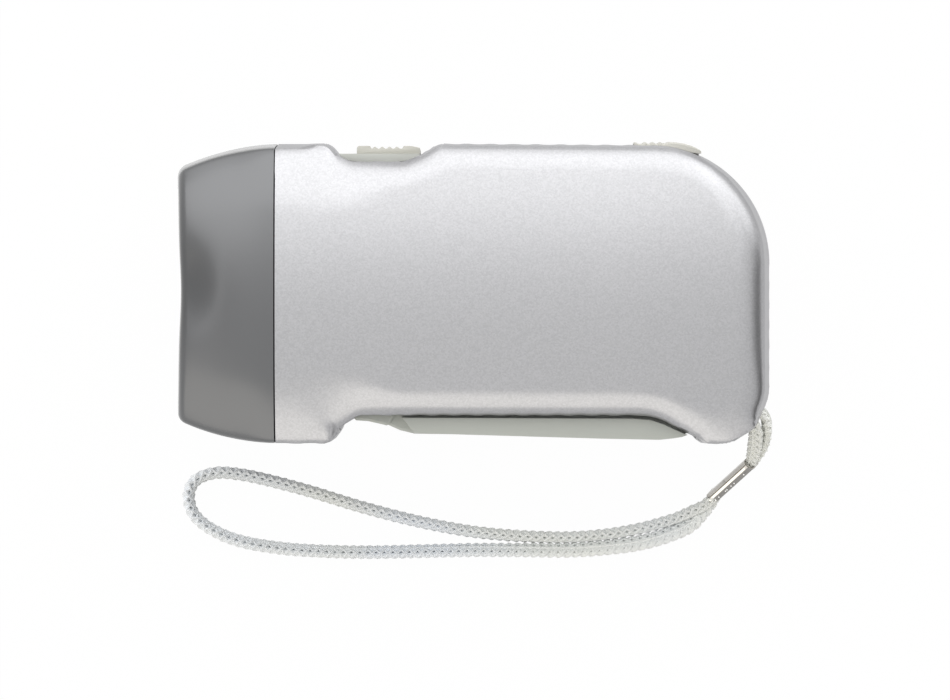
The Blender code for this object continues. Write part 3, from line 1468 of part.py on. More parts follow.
def gear_frame():
    """The plate under the gears, with pillars for its cover and posts for the stator."""
    low = FRAME_FLOOR
    high = low + FRAME_THICKNESS
    obj = plate("gear_frame", [frame_edge()], low, high, "white_plastic", FIRST_AXIS)
    for axis in (FIRST_AXIS, SECOND_AXIS, ROTOR_AXIS):
        add_bore(obj, axis, AXLE_RADIUS + CLEARANCE, low - OVERRUN, high + OVERRUN, 12)
    top = frame_top() - FRAME_THICKNESS - CLEARANCE
    for place in PILLAR_PLACES:
        add_post(obj, place, PILLAR_RADIUS, low + FRAME_THICKNESS / 2, top, 12)
        depth = top - FRAME_SCREW_LENGTH
        add_bore(obj, place, FRAME_SCREW_RADIUS + CLEARANCE, depth, top + OVERRUN, 10)
    for place in core_posts():
        under = core_floor() - CLEARANCE
        add_post(obj, place, CORE_POST_RADIUS, low + FRAME_THICKNESS / 2, under, 12)
    return obj


def core_posts():
    x, y = ROTOR_AXIS
    across = CORE_HALF - CORE_LEG + CLEARANCE
    level = y - CORE_DROP + CORE_POST_RADIUS
    return [(x - across, level), (x + across, level)]


def frame_edge():
    """A smooth edge round the pillars, the axles and the stator's feet."""
    margin = PILLAR_RADIUS + CLEARANCE * 2
    places = list(PILLAR_PLACES) + core_posts() + [FIRST_AXIS]
    ring = []
    for place in places:
        ring += circle(place, margin, 12)
    return convex_edge(ring)


def convex_edge(points):
    """The outline of a band stretched round points."""
    ordered = sorted(set(points))
    halves = []
    for run in (ordered, ordered[::-1]):
        line = []
        for p in run:
            while len(line) > 1 and turn_of(line[-2], line[-1], p) <= 0:
                line.pop()
            line.append(p)
        halves.append(line[:-1])
    return halves[0] + halves[1]


def turn_of(a, b, c):
    return (b[0] - a[0]) * (c[1] - a[1]) - (b[1] - a[1]) * (c[0] - a[0])


def gear_cover():
    high = frame_top()
    low = high - FRAME_THICKNESS
    margin = PILLAR_RADIUS + CLEARANCE * 2
    ring = []
    for place in list(PILLAR_PLACES) + [FIRST_AXIS, ROTOR_AXIS]:
        ring += circle(place, margin, 12)
    obj = plate("gear_cover", [convex_edge(ring)], low, high, "white_plastic", SECOND_AXIS)
    for axis in (FIRST_AXIS, SECOND_AXIS, ROTOR_AXIS):
        add_bore(obj, axis, AXLE_RADIUS + CLEARANCE, low - OVERRUN, high + OVERRUN, 12)
    for number, place in enumerate(PILLAR_PLACES, 1):
        add_bore(obj, place, FRAME_SCREW_RADIUS + CLEARANCE, low - OVERRUN, high + OVERRUN, 10)
        small_screw(f"frame_screw_{number}", (*place, high + CLEARANCE), (0, 0, 1))
    return obj


# Switch
def ridged_outline(front, rear, base, top, valley, ridges, half, front_pad, rear_pad):
    """A side outline, counter-clockwise, with ridges standing up between two pads."""
    points = [(front, base), (rear, base), (rear, top - half / 2), (rear - half / 2, top)]
    points += [(rear - rear_pad, top), (rear - rear_pad, valley)]
    for x in reversed(ridges):
        points += [(x + half, valley), (x + half / 2, top), (x - half / 2, top), (x - half, valley)]
    points += [(front + front_pad, valley), (front + front_pad, top)]
    points += [(front + half / 2, top), (front, top - half / 2)]
    return points


def switch_knob():
    start = KNOB_FRONT_X + KNOB_RIDGE_START
    ridges = [start + KNOB_RIDGE_PITCH * k for k in range(KNOB_RIDGES)]
    outline = ridged_outline(
        KNOB_FRONT_X, KNOB_FRONT_X + KNOB_LENGTH, PLATE_TOP + CLEARANCE, KNOB_TOP, KNOB_VALLEY,
        ridges, KNOB_RIDGE_HALF, KNOB_PAD_FRONT, KNOB_PAD_REAR,
    )
    low, high = MIDDLE - KNOB_HALF_WIDTH, MIDDLE + KNOB_HALF_WIDTH
    obj = plate("switch_knob", [outline], low, high, "grey_plastic", (KNOB_STEM_X, KNOB_TOP))
    stem = block(
        "switch_knob_stem",
        (KNOB_STEM_X - KNOB_STEM_HALF, PLATE_TOP - KNOB_STEM_DROP,
         MIDDLE - KNOB_STEM_HALF_WIDTH),
        (KNOB_STEM_X + KNOB_STEM_HALF, KNOB_VALLEY - CLEARANCE,
         MIDDLE + KNOB_STEM_HALF_WIDTH),
    )
    return joined(obj, stem)


def switch_plate():
    """The trim plate that lines the recess under the knob."""
    floor = RECESS_FLOOR_X
    rise = PLATE_TOP - RECESS_Y - CLEARANCE
    front = floor - RECESS_FRONT_RAMP * rise / RECESS_DEPTH + 2 * CLEARANCE
    rear = floor + RECESS_FLOOR + RECESS_REAR_RAMP * rise / RECESS_DEPTH - 2 * CLEARANCE
    outline = [
        (front, PLATE_TOP),
        (front, PLATE_TOP - CLEARANCE),
        (floor + CLEARANCE * 2, RECESS_Y + CLEARANCE * 2),
        (floor + CLEARANCE * 6, RECESS_Y + CLEARANCE),
        (floor + RECESS_FLOOR - CLEARANCE * 6, RECESS_Y + CLEARANCE),
        (floor + RECESS_FLOOR, RECESS_Y + CLEARANCE * 2),
        (rear, PLATE_TOP - CLEARANCE),
        (rear, PLATE_TOP),
    ]
    low, high = MIDDLE - PLATE_HALF_WIDTH, MIDDLE + PLATE_HALF_WIDTH
    obj = plate("switch_plate", [outline], low, high, "grey_plastic", (floor, RECESS_Y))
    return combine(obj, slot_cut("switch_plate_slot", *switch_slot()))


def board_top():
    return MAIN_BOARD_Y + BOARD_THICKNESS


def slide_switch():
    base = board_top() + CLEARANCE
    top = base + SWITCH_BODY_HEIGHT
    middle = KNOB_STEM_X - KNOB_TRAVEL / 2
    obj = block(
        "slide_switch_body",
        (middle - SWITCH_BODY_HALF, base, MIDDLE - SWITCH_BODY_HALF_WIDTH),
        (middle + SWITCH_BODY_HALF, top, MIDDLE + SWITCH_BODY_HALF_WIDTH),
        "steel",
    )
    reach = SWITCH_STEM_HALF + KNOB_TRAVEL / 2 + CLEARANCE
    socket = block(
        "slide_switch_socket",
        (middle - reach, top - SWITCH_STEM_SOCKET, MIDDLE - SWITCH_STEM_HALF - CLEARANCE),
        (middle + reach, top + OVERRUN, MIDDLE + SWITCH_STEM_HALF + CLEARANCE),
    )
    combine(obj, socket)
    stem_top = PLATE_TOP - KNOB_STEM_DROP - CLEARANCE
    stem = block(
        "slide_switch_stem",
        (KNOB_STEM_X - SWITCH_STEM_HALF, top - SWITCH_STEM_SOCKET + CLEARANCE,
         MIDDLE - SWITCH_STEM_HALF),
        (KNOB_STEM_X + SWITCH_STEM_HALF, stem_top, MIDDLE + SWITCH_STEM_HALF),
        "black_plastic",
    )
    return obj, stem


# Lever lock
def lock_button():
    ridges = [LOCK_FRONT_X + (LOCK_PAD_X - LOCK_FRONT_X) * share for share in LOCK_SHARES]
    tail = SHOULDER_TOP - LOCK_TAIL_DROP
    points = [
        (LOCK_FRONT_X, LOCK_BASE),
        (LOCK_PAD_X, LOCK_BASE),
        (LOCK_PAD_X + (LOCK_TAIL_X - LOCK_PAD_X) / 2, LOCK_BASE - 2 * CLEARANCE),
        (LOCK_TAIL_X, tail + CLEARANCE),
        (LOCK_TAIL_X, tail + LOCK_TAIL_THICKNESS),
        (LOCK_PAD_X + (LOCK_TAIL_X - LOCK_PAD_X) * 2 / 3, LOCK_TOP - 2 * CLEARANCE),
        (LOCK_PAD_X + (LOCK_TAIL_X - LOCK_PAD_X) / 3, LOCK_TOP),
        (LOCK_PAD_X, LOCK_TOP),
        (LOCK_PAD_X - LOCK_RIDGE_HALF, LOCK_VALLEY),
    ]
    for x in reversed(ridges):
        half = LOCK_RIDGE_HALF
        points += [(x + half, LOCK_VALLEY), (x + half / 3, LOCK_TOP), (x - half / 3, LOCK_TOP)]
        if x > LOCK_FRONT_X + half:
            points.append((x - half, LOCK_VALLEY))
    low, high = MIDDLE - LOCK_HALF_WIDTH, MIDDLE + LOCK_HALF_WIDTH
    obj = plate("lock_button", [points], low, high, "grey_plastic", (LOCK_STEM_X, LOCK_BASE))
    stem = block(
        "lock_button_stem",
        (LOCK_STEM_X, LOCK_STEM_END, MIDDLE - LOCK_STEM_HALF_WIDTH),
        (LOCK_STEM_X + LOCK_STEM_LENGTH, LOCK_BASE + HALF_GAP, MIDDLE + LOCK_STEM_HALF_WIDTH),
    )
    return joined(obj, stem)


def lock_arm():
    """The arm from the button down to the hook that catches the lever's ledge."""
    left = LOCK_STEM_X
    hook_top = LEVER_TOP_Y - LEDGE_THICKNESS - CLEARANCE
    hook_low = hook_top - HOOK_THICKNESS
    outline = [
        (left, hook_low),
        (left + HOOK_LENGTH, hook_low),
        (left + HOOK_LENGTH, hook_top),
        (left + ARM_WIDTH, hook_top),
        (left + ARM_WIDTH, ARM_TOP),
        (left, ARM_TOP),
    ]
    low = MIDDLE + ARM_LOW
    high = low + ARM_THICKNESS
    obj = plate("lock_arm", [outline], low, high, "white_plastic", (left, ARM_TOP))
    jog = block(
        "lock_arm_jog",
        (left, ARM_TOP - ARM_JOG, MIDDLE - LOCK_STEM_HALF_WIDTH),
        (left + LOCK_STEM_LENGTH, ARM_TOP, high),
    )
    return joined(obj, jog)


# Battery and board
def holder_floor():
    stack = CELLS * CELL_HEIGHT + (CELLS + 1) * CLEARANCE
    return MIDDLE - stack / 2 - HOLDER_WALL


def holder_ceiling():
    return 2 * MIDDLE - holder_floor() - HOLDER_WALL


def battery():
    for k in range(CELLS):
        low = holder_floor() + HOLDER_WALL + CLEARANCE + k * (CELL_HEIGHT + CLEARANCE)
        round_bar(
            f"battery_cell_{k + 1}", (*CELL_PLACE, low), (*CELL_PLACE, low + CELL_HEIGHT),
            CELL_RADIUS, "steel", 24,
        )
    inner = CELL_RADIUS + CLEARANCE
    outer = inner + HOLDER_WALL
    steps = 14
    span = math.tau - HOLDER_OPENING
    start = math.pi + HOLDER_OPENING / 2
    arc = [start + span * k / steps for k in range(steps + 1)]
    outline = [
        (CELL_PLACE[0] + outer * math.cos(a), CELL_PLACE[1] + outer * math.sin(a)) for a in arc
    ]
    outline += [
        (CELL_PLACE[0] + inner * math.cos(a), CELL_PLACE[1] + inner * math.sin(a))
        for a in reversed(arc)
    ]
    low, high = holder_floor(), holder_ceiling()
    obj = plate("battery_holder", [outline], low, high, "black_plastic", CELL_PLACE)
    floor = round_bar(
        "battery_holder_floor", (*CELL_PLACE, low), (*CELL_PLACE, low + HOLDER_WALL),
        (inner + outer) / 2, sides=28,
    )
    return joined(obj, floor)


def main_board():
    return block(
        "main_board",
        (MAIN_BOARD_X, MAIN_BOARD_Y, MIDDLE - MAIN_BOARD_HALF_WIDTH),
        (MAIN_BOARD_END_X, board_top(), MIDDLE + MAIN_BOARD_HALF_WIDTH),
        "circuit_board",
    )


def board_parts():
    under = MAIN_BOARD_Y - CLEARANCE
    x = MAIN_BOARD_END_X - DIODE_SETBACK
    for k in range(DIODES):
        z = MIDDLE + (k - (DIODES - 1) / 2) * DIODE_PITCH
        y = under - DIODE_RADIUS
        round_bar(
            f"diode_{k + 1}", (x - DIODE_HALF, y, z), (x + DIODE_HALF, y, z),
            DIODE_RADIUS, "black_plastic", 12,
        )
    x = MAIN_BOARD_END_X - CAPACITOR_SETBACK
    y = board_top() + CLEARANCE + CAPACITOR_RADIUS
    round_bar(
        "capacitor", (x - CAPACITOR_HALF, y, MIDDLE), (x + CAPACITOR_HALF, y, MIDDLE),
        CAPACITOR_RADIUS, "black_plastic", 20,
    )


# Wires and strap
def smooth_route(points, count):
    """Points spaced evenly along a smooth curve through a route's points."""
    spots = [Vector(p) for p in points]
    padded = [spots[0] * 2 - spots[1]] + spots + [spots[-1] * 2 - spots[-2]]
    fine = []
    for a, b, c, d in zip(padded, padded[1:], padded[2:], padded[3:]):
        for k in range(12):
            t = k / 12
            fine.append(
                (b * 2 + (c - a) * t + (a * 2 - b * 5 + c * 4 - d) * t**2
                 + (b * 3 - a - c * 3 + d) * t**3) / 2
            )
    fine.append(spots[-1])
    lengths = [0.0]
    for a, b in zip(fine, fine[1:]):
        lengths.append(lengths[-1] + (b - a).length)
    even = []
    step = 0
    for k in range(count):
        target = lengths[-1] * k / (count - 1)
        while step < len(fine) - 2 and lengths[step + 1] < target:
            step += 1
        share = (target - lengths[step]) / (lengths[step + 1] - lengths[step])
        even.append(tuple(fine[step].lerp(fine[step + 1], min(share, 1))))
    return even, lengths[-1]


WRIST_ROUTE = (
    (0.0419, -0.0384, 0.0038), (0.0392, -0.0397, 0.0030), (0.0365, -0.0409, 0.0020),
    (0.0306, -0.0426, 0.0012), (0.0239, -0.0438, 0.0011), (0.0174, -0.0443, 0.0011),
    (0.0111, -0.0442, 0.0011), (0.0047, -0.0438, 0.0011), (-0.0020, -0.0430, 0.0011),
    (-0.0107, -0.0413, 0.0011), (-0.0204, -0.0388, 0.0011), (-0.0296, -0.0360, 0.0011),
    (-0.0367, -0.0341, 0.0011), (-0.0423, -0.0329, 0.0011), (-0.0469, -0.0326, 0.0011),
    (-0.0505, -0.0339, 0.0011), (-0.0518, -0.0365, 0.0011), (-0.0510, -0.0399, 0.0011),
    (-0.0479, -0.0427, 0.0011), (-0.0428, -0.0449, 0.0011), (-0.0357, -0.0462, 0.0011),
    (-0.0281, -0.0468, 0.0011), (-0.0189, -0.0470, 0.0011), (-0.0092, -0.0468, 0.0011),
    (0.0000, -0.0466, 0.0011), (0.0092, -0.0466, 0.0011), (0.0174, -0.0466, 0.0011),
    (0.0245, -0.0461, 0.0011), (0.0306, -0.0452, 0.0011), (0.0357, -0.0437, 0.0011),
    (0.0393, -0.0420, 0.0011), (0.0415, -0.0397, 0.0012), (0.0429, -0.0376, 0.0018),
)

EYE_ROUTE = (
    (0.0497, -0.0300, 0.0105), (0.0489, -0.0279, 0.0127), (0.0493, -0.0257, 0.0152),
    (0.0487, -0.0236, 0.0166), (0.0468, -0.0225, 0.0168), (0.0459, -0.0211, 0.0168),
    (0.0463, -0.0197, 0.0168), (0.0475, -0.0190, 0.0168), (0.0490, -0.0194, 0.0168),
    (0.0506, -0.0206, 0.0168), (0.0521, -0.0222, 0.0161), (0.0525, -0.0243, 0.0146),
    (0.0523, -0.0264, 0.0127), (0.0515, -0.0284, 0.0110), (0.0510, -0.0298, 0.0103),
)

# The wires' bends, as steps away from the straight line between their ends' places
LED_WIRE_BENDS = (
    (-0.00030, 0.00140, -0.00200), (-0.00077, 0.00460, -0.00280), (-0.00075, 0.00540, -0.00350),
    (-0.00003, 0.00620, -0.00350), (0.00080, 0.00800, -0.00350),
)

COIL_WIRE_BENDS = (
    (-0.00309, 0.00034, 0.00517), (-0.00243, -0.00116, 0.00591), (-0.00228, -0.00167, 0.00643),
    (-0.00462, -0.00118, 0.00664), (-0.00697, 0.00032, 0.00666), (-0.00781, 0.00131, 0.00667),
    (-0.00616, 0.00081, 0.00659), (-0.00270, -0.00030, 0.00640),
)


def strung(start, end, bends):
    """A route whose points keep to both of its ends when either is moved."""
    last = len(bends) - 1
    return [Vector(start).lerp(end, k / last) + Vector(bend) for k, bend in enumerate(bends)]


def wires():
    shift = 4 * WIRE_RADIUS
    lights = (led_board_front() + BOARD_THICKNESS, 0, MIDDLE)
    to_lights = strung((MAIN_BOARD_X, MAIN_BOARD_Y, MIDDLE), lights, LED_WIRE_BENDS)
    to_board = strung(coil_centre(), (MAIN_BOARD_END_X, MAIN_BOARD_Y, MIDDLE), COIL_WIRE_BENDS)
    for number, (finish, offset) in enumerate((("wire_red", 0), ("wire_black", shift)), 1):
        route = [(x, y, z + offset) for x, y, z in to_lights]
        tube(f"led_wire_{number}", smooth_route(route, 12)[0], WIRE_RADIUS, finish, 1)
        route = [(x + offset, y, z) for x, y, z in to_board]
        tube(f"coil_wire_{number}", smooth_route(route, 16)[0], WIRE_RADIUS, finish, 1)


def strap():
    points, length = smooth_route(WRIST_ROUTE, 78)
    tube("wrist_strap", points, STRAP_RADIUS, "cord")
    print(f"wrist strap: {length * 1000:.0f} mm")
    points, length = smooth_route(EYE_ROUTE, 22)
    tube("strap_eye_loop", points, EYE_RADIUS, "cord")
    print(f"strap eye loop: {length * 1000:.0f} mm")


def strap_crimp():
    """A folded metal sleeve, open along its seam, that holds both ends of the strap."""
    top, foot = Vector(CRIMP_TOP), Vector(CRIMP_FOOT)
    length = (top - foot).length
    sides = 20
    gap = CRIMP_SEAM / CRIMP_HALF_WIDTH
    outline = []
    for shrink, order in ((0, 1), (CRIMP_WALL, -1)):
        arc = [gap + (math.tau - 2 * gap) * k / sides for k in range(sides + 1)][::order]
        for a in arc:
            outline.append(
                ((CRIMP_HALF_WIDTH - shrink) * math.cos(a), (CRIMP_HALF_DEPTH - shrink) * math.sin(a))
            )
    obj = plate("strap_crimp", [outline], -length / 2, length / 2, "steel")
    turn = (top - foot).to_track_quat("Z", "Y").to_matrix().to_4x4()
    obj.matrix_world = Matrix.Translation((top + foot) / 2) @ turn
    return obj


# Build
def build():
    lower_shell()
    upper_shell()
    for number, place in enumerate(BODY_SCREW_PLACES, 1):
        body_screw(number, place)
    bezel()
    lens()
    reflector()
    for number, (y, z) in enumerate(led_places(), 1):
        led(number, y, z)
    led_board()
    lever_joint = joint_empty("lever_joint", (*LEVER_PIVOT, MIDDLE))
    for obj in (lever(), sector_gear(), return_spring()):
        hang(obj, lever_joint)
    lever_pin()
    gear_frame()
    gear_cover()
    hang(first_gear(), joint_empty("first_gear_joint", (*FIRST_AXIS, MIDDLE)))
    hang(second_gear(), joint_empty("second_gear_joint", (*SECOND_AXIS, MIDDLE)))
    axle("first_axle", FIRST_AXIS)
    axle("second_axle", SECOND_AXIS)
    rotor_joint = joint_empty("rotor_joint", (*ROTOR_AXIS, MIDDLE))
    rotor_pieces = (
        axle("rotor_shaft", ROTOR_AXIS), rotor_pinion(), rotor_magnet(), flywheel(),
    )
    for obj in rotor_pieces:
        hang(obj, rotor_joint)
    stator_core()
    coil_bobbin()
    coil_winding()
    switch_plate()
    slide_body, slide_stem = slide_switch()
    switch_joint = joint_empty("switch_joint", (KNOB_STEM_X, PLATE_TOP, MIDDLE))
    for obj in (switch_knob(), slide_stem):
        hang(obj, switch_joint)
    lock_joint = joint_empty("lock_joint", (LOCK_STEM_X, LOCK_BASE, MIDDLE))
    for obj in (lock_button(), lock_arm()):
        hang(obj, lock_joint)
    battery()
    main_board()
    board_parts()
    wires()
    strap()
    strap_crimp()


build()
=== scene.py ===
# The hand squeezed dynamo torch as it looks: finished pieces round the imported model.
import math

import bmesh
import bpy
import numpy as np
from mathutils import Matrix, Vector
from mathutils.geometry import delaunay_2d_cdt
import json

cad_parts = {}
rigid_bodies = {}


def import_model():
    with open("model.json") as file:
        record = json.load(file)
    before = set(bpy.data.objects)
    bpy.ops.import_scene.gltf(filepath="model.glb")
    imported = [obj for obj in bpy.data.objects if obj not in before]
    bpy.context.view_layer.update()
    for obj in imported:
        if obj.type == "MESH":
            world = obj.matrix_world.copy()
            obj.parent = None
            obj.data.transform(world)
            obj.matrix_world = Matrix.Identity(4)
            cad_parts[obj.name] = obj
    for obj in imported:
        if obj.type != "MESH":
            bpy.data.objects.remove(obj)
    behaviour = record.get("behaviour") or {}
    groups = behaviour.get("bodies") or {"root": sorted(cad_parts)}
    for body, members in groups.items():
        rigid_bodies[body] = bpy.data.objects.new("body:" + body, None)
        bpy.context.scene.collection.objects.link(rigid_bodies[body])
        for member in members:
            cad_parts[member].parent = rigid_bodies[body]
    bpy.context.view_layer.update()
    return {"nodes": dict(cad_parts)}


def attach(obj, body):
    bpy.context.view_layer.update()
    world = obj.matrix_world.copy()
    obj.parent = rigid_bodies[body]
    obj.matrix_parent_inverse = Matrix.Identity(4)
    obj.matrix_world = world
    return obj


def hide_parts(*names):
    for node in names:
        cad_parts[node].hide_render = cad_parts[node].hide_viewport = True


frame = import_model()
nodes = frame["nodes"]
print("packed model loaded:", len(nodes), "nodes")


# Node graphs, for materials and for geometry
class Wire:
    # one output socket that can be added, scaled and divided like a number
    def __init__(self, graph, socket):
        self.graph = graph
        self.socket = socket

    def out(self, name):
        return Wire(self.graph, self.socket.node.outputs[name])

    def maths(self, operation, first, second=0.0):
        kind = "ShaderNodeMath"
        wires = [w for w in (first, second) if isinstance(w, Wire)]
        if any(w.socket.type in ("VECTOR", "RGBA") for w in wires):
            first, second = [w if isinstance(w, Wire) else (w, w, w) for w in (first, second)]
            kind = "ShaderNodeVectorMath"
        return self.graph.add(kind, {"operation": operation}, {0: first, 1: second})

    def __add__(self, other):
        return self.maths("ADD", self, other)

    __radd__ = __add__

    def __sub__(self, other):
        return self.maths("SUBTRACT", self, other)

    def __rsub__(self, other):
        return self.maths("SUBTRACT", other, self)

    def __mul__(self, other):
        return self.maths("MULTIPLY", self, other)

    __rmul__ = __mul__

    def __truediv__(self, other):
        return self.maths("DIVIDE", self, other)

    def __rtruediv__(self, other):
        return self.maths("DIVIDE", other, self)

    def sin(self):
        return self.maths("SINE", self)

    def cos(self):
        return self.maths("COSINE", self)

    def floor(self):
        return self.maths("FLOOR", self)


class Graph:
    def __init__(self, tree):
        self.tree = tree
        tree.nodes.clear()

    def add(self, kind, settings=None, inputs=None, output=0):
        # a list of wires fills a socket that takes several
        node = self.tree.nodes.new(kind)
        for name, value in (settings or {}).items():
            setattr(node, name, value)
        for key, value in (inputs or {}).items():
            for wire in value if isinstance(value, list) else [value]:
                if isinstance(wire, Wire):
                    self.tree.links.new(wire.socket, node.inputs[key])
                else:
                    node.inputs[key].default_value = wire
        return Wire(self, node.outputs[output] if len(node.outputs) else None)

    def scaled(self, colour, shade):
        # a colour made lighter or darker
        inputs = {0: colour, "Scale": shade}
        return self.add("ShaderNodeVectorMath", {"operation": "SCALE"}, inputs)

    def blend(self, share, first, second):
        # a colour between two others: 6 and 7 take the colours, and 2 gives the mixed one
        inputs = {0: share, 6: (*first, 1), 7: (*second, 1)}
        return self.add("ShaderNodeMix", {"data_type": "RGBA"}, inputs, 2)

    def between(self, value, low, high):
        # how far a number lies from one value to another, held at 0 and 1
        return self.add("ShaderNodeMapRange", {}, {0: value, 1: low, 2: high})

    def vector(self, x=0.0, y=0.0, z=0.0):
        return self.add("ShaderNodeCombineXYZ", {}, {"X": x, "Y": y, "Z": z})


# Materials
def startMaterial(name):
    made = bpy.data.materials.new(name)
    made.use_nodes = True
    graph = Graph(made.node_tree)
    place = graph.add("ShaderNodeTexCoord").out("Object")
    return made, graph, place


def noise(graph, place, scale, detail=3.0, roughness=0.55, stretch=None):
    if stretch:
        place = graph.add("ShaderNodeMapping", {}, {"Vector": place, "Scale": stretch})
    inputs = {"Vector": place, "Scale": scale, "Detail": detail, "Roughness": roughness}
    return graph.add("ShaderNodeTexNoise", {}, inputs)


def finishMaterial(graph, surface, bumps=()):
    # bumps are (height, distance) pairs, one on the other
    normal = None
    for height, distance in bumps:
        inputs = {"Height": height, "Distance": distance, "Strength": 1.0}
        if normal:
            inputs["Normal"] = normal
        normal = graph.add("ShaderNodeBump", {}, inputs)
    if normal:
        surface["Normal"] = normal
    shader = graph.add("ShaderNodeBsdfPrincipled", {}, surface)
    graph.add("ShaderNodeOutputMaterial", {}, {"Surface": shader})


def swing(pattern, spread):
    # a pattern from 0 to 1, taken about its middle
    return (pattern - 0.5) * spread


def paintedFinish(name, look):
    # fine metal flakes in lacquer over moulded plastic
    made, graph, place = startMaterial(name)
    flakes = graph.add(
        "ShaderNodeTexVoronoi", {"feature": "F1"}, {"Vector": place, "Scale": look["flakeScale"]}
    ).out("Color")
    flake = graph.add("ShaderNodeSeparateColor", {}, {"Color": flakes})
    fine = noise(graph, place, look["grainScale"], 2.0)
    broad = noise(graph, place, look["cloudScale"], 2.0)
    shade = 1 + swing(flake, look["flakeSpread"]) + swing(broad, look["cloudSpread"])
    surface = {
        "Base Color": graph.scaled(look["colour"], shade),
        "Metallic": look["metallic"],
        "Roughness": look["roughness"] + swing(fine, look["roughSpread"]),
        "Specular Tint": (*look["edgeTint"], 1),
        "Coat Weight": look["coat"],
        "Coat Roughness": look["coatRoughness"],
    }
    finishMaterial(graph, surface, [(flake, look["flakeDepth"]), (fine, look["grainDepth"])])
    return made


def mouldedFinish(name, colour, roughness, **changes):
    # spark eroded plastic: a fine even grain, a little cloudiness and some rubbed places
    look = {**mouldedLook, **changes}
    made, graph, place = startMaterial(name)
    fine = noise(graph, place, look["grainScale"], 2.0)
    broad = noise(graph, place, look["cloudScale"])
    rubbed_and_highlit = graph.between(noise(graph, place, look["rubScale"], 5.0), *look["rubEdges"])
    shade = 1 + swing(broad, look["cloudSpread"]) + swing(fine, look["grainSpread"])
    surface = {
        "Base Color": graph.scaled(colour, shade),
        "Roughness": roughness + swing(fine, look["roughSpread"]) - rubbed_and_highlit * look["rubShine"],
    }
    finishMaterial(graph, surface, [(fine, look["grainDepth"])])
    return made


def smokedFinish(name, look):
    # smoked plastic with a painted shade: a soft patch near the rim's scoop is painted darker into
    # its colour
    made, graph, place = startMaterial(name)
    spot = graph.add("ShaderNodeSeparateXYZ", {}, {"Vector": place})
    # a soft patch of painted shade, darkest at its middle
    near = 0
    for axis, middle, half in zip("XY", look["paintedShadePlace"], look["paintedShadeHalf"]):
        away = (spot.out(axis) - middle) / half
        near = near + away * away
    paintedShade = 1 / (1 + near * near)
    fine = noise(graph, place, look["grainScale"], 2.0)
    broad = noise(graph, place, look["cloudScale"])
    shade = 1 + swing(broad, look["cloudSpread"]) + swing(fine, look["grainSpread"])
    surface = {
        "Base Color": graph.scaled(look["colour"], shade * (1 - paintedShade * look["paintedShadeDark"])),
        "Metallic": look["metallic"],
        "Roughness": look["roughness"] + swing(fine, look["roughSpread"]),
        "Coat Weight": look["coat"],
        "Coat Roughness": look["coatRoughness"],
    }
    finishMaterial(graph, surface, [(fine, look["grainDepth"])])
    return made


def metalFinish(name, colour, roughness, **changes):
    # drawn or turned metal with streaks along one axis and small dull spots
    look = {**metalLook, **changes}
    made, graph, place = startMaterial(name)
    streaks = noise(graph, place, look["streakScale"], 4.0, 0.6, look["stretch"])
    spots = graph.between(noise(graph, place, look["spotScale"], 4.0), *look["spotEdges"])
    shade = 1 + swing(streaks, look["streakSpread"]) - spots * look["stain"]
    surface = {
        "Base Color": graph.scaled(colour, shade),
        "Metallic": look["metallic"],
        "Roughness": roughness + swing(streaks, look["roughSpread"]) + spots * look["spotRough"],
    }
    finishMaterial(graph, surface, [(streaks, look["streakDepth"])])
    return made


def clearFinish(name, colour, roughness, **changes):
    # clear plastic with a faint wave and a few dull scuffs
    look = {**clearLook, **changes}
    made, graph, place = startMaterial(name)
    wave = noise(graph, place, look["waveScale"], 2.0)
    scuffs = graph.between(noise(graph, place, look["scuffScale"], 5.0), *look["scuffEdges"])
    surface = {
        "Base Color": (*colour, 1),
        "Roughness": roughness + scuffs * look["scuffRough"],
        "Transmission Weight": look["transmission"],
        "IOR": look["ior"],
    }
    finishMaterial(graph, surface, [(wave, look["waveDepth"])])
    return made


def yarnFinish(name, look):
    # filaments run along each strand, by the strand's own map
    made, graph, place = startMaterial(name)
    along = graph.add("ShaderNodeUVMap", {"uv_map": "yarn"})
    filaments = noise(graph, along, look["filaments"], 3.0, 0.6, look["stretch"])
    patches = noise(graph, place, look["patchScale"], 2.0)
    colour = graph.blend(graph.between(patches, *look["patchEdges"]), look["cool"], look["warm"])
    surface = {
        "Base Color": graph.scaled(colour, 1 + swing(filaments, look["filamentSpread"])),
        "Roughness": look["roughness"] - swing(filaments, look["roughSpread"]),
        "Sheen Weight": look["sheen"],
        "Sheen Roughness": look["sheenRoughness"],
        "Specular IOR Level": look["specular"],
    }
    finishMaterial(graph, surface, [(filaments, look["filamentDepth"])])
    return made


def boardFinish(name, look):
    # green lacquer over copper tracks
    made, graph, place = startMaterial(name)
    inputs = {"Vector": place, "Scale": look["trackScale"], "Mortar Size": look["gapSize"],
              "Mortar Smooth": look["gapSmooth"]}
    cells = graph.add("ShaderNodeTexBrick", {"offset": 0.5}, inputs).out("Fac")
    weave = noise(graph, place, look["weaveScale"], 2.0)
    colour = graph.blend(cells * look["trackShare"], look["lacquer"], look["track"])
    surface = {
        "Base Color": graph.scaled(colour, 1 + swing(weave, look["weaveSpread"])),
        "Roughness": look["roughness"] + swing(weave, look["roughSpread"]),
    }
    finishMaterial(graph, surface, [(cells, look["trackDepth"])])
    return made


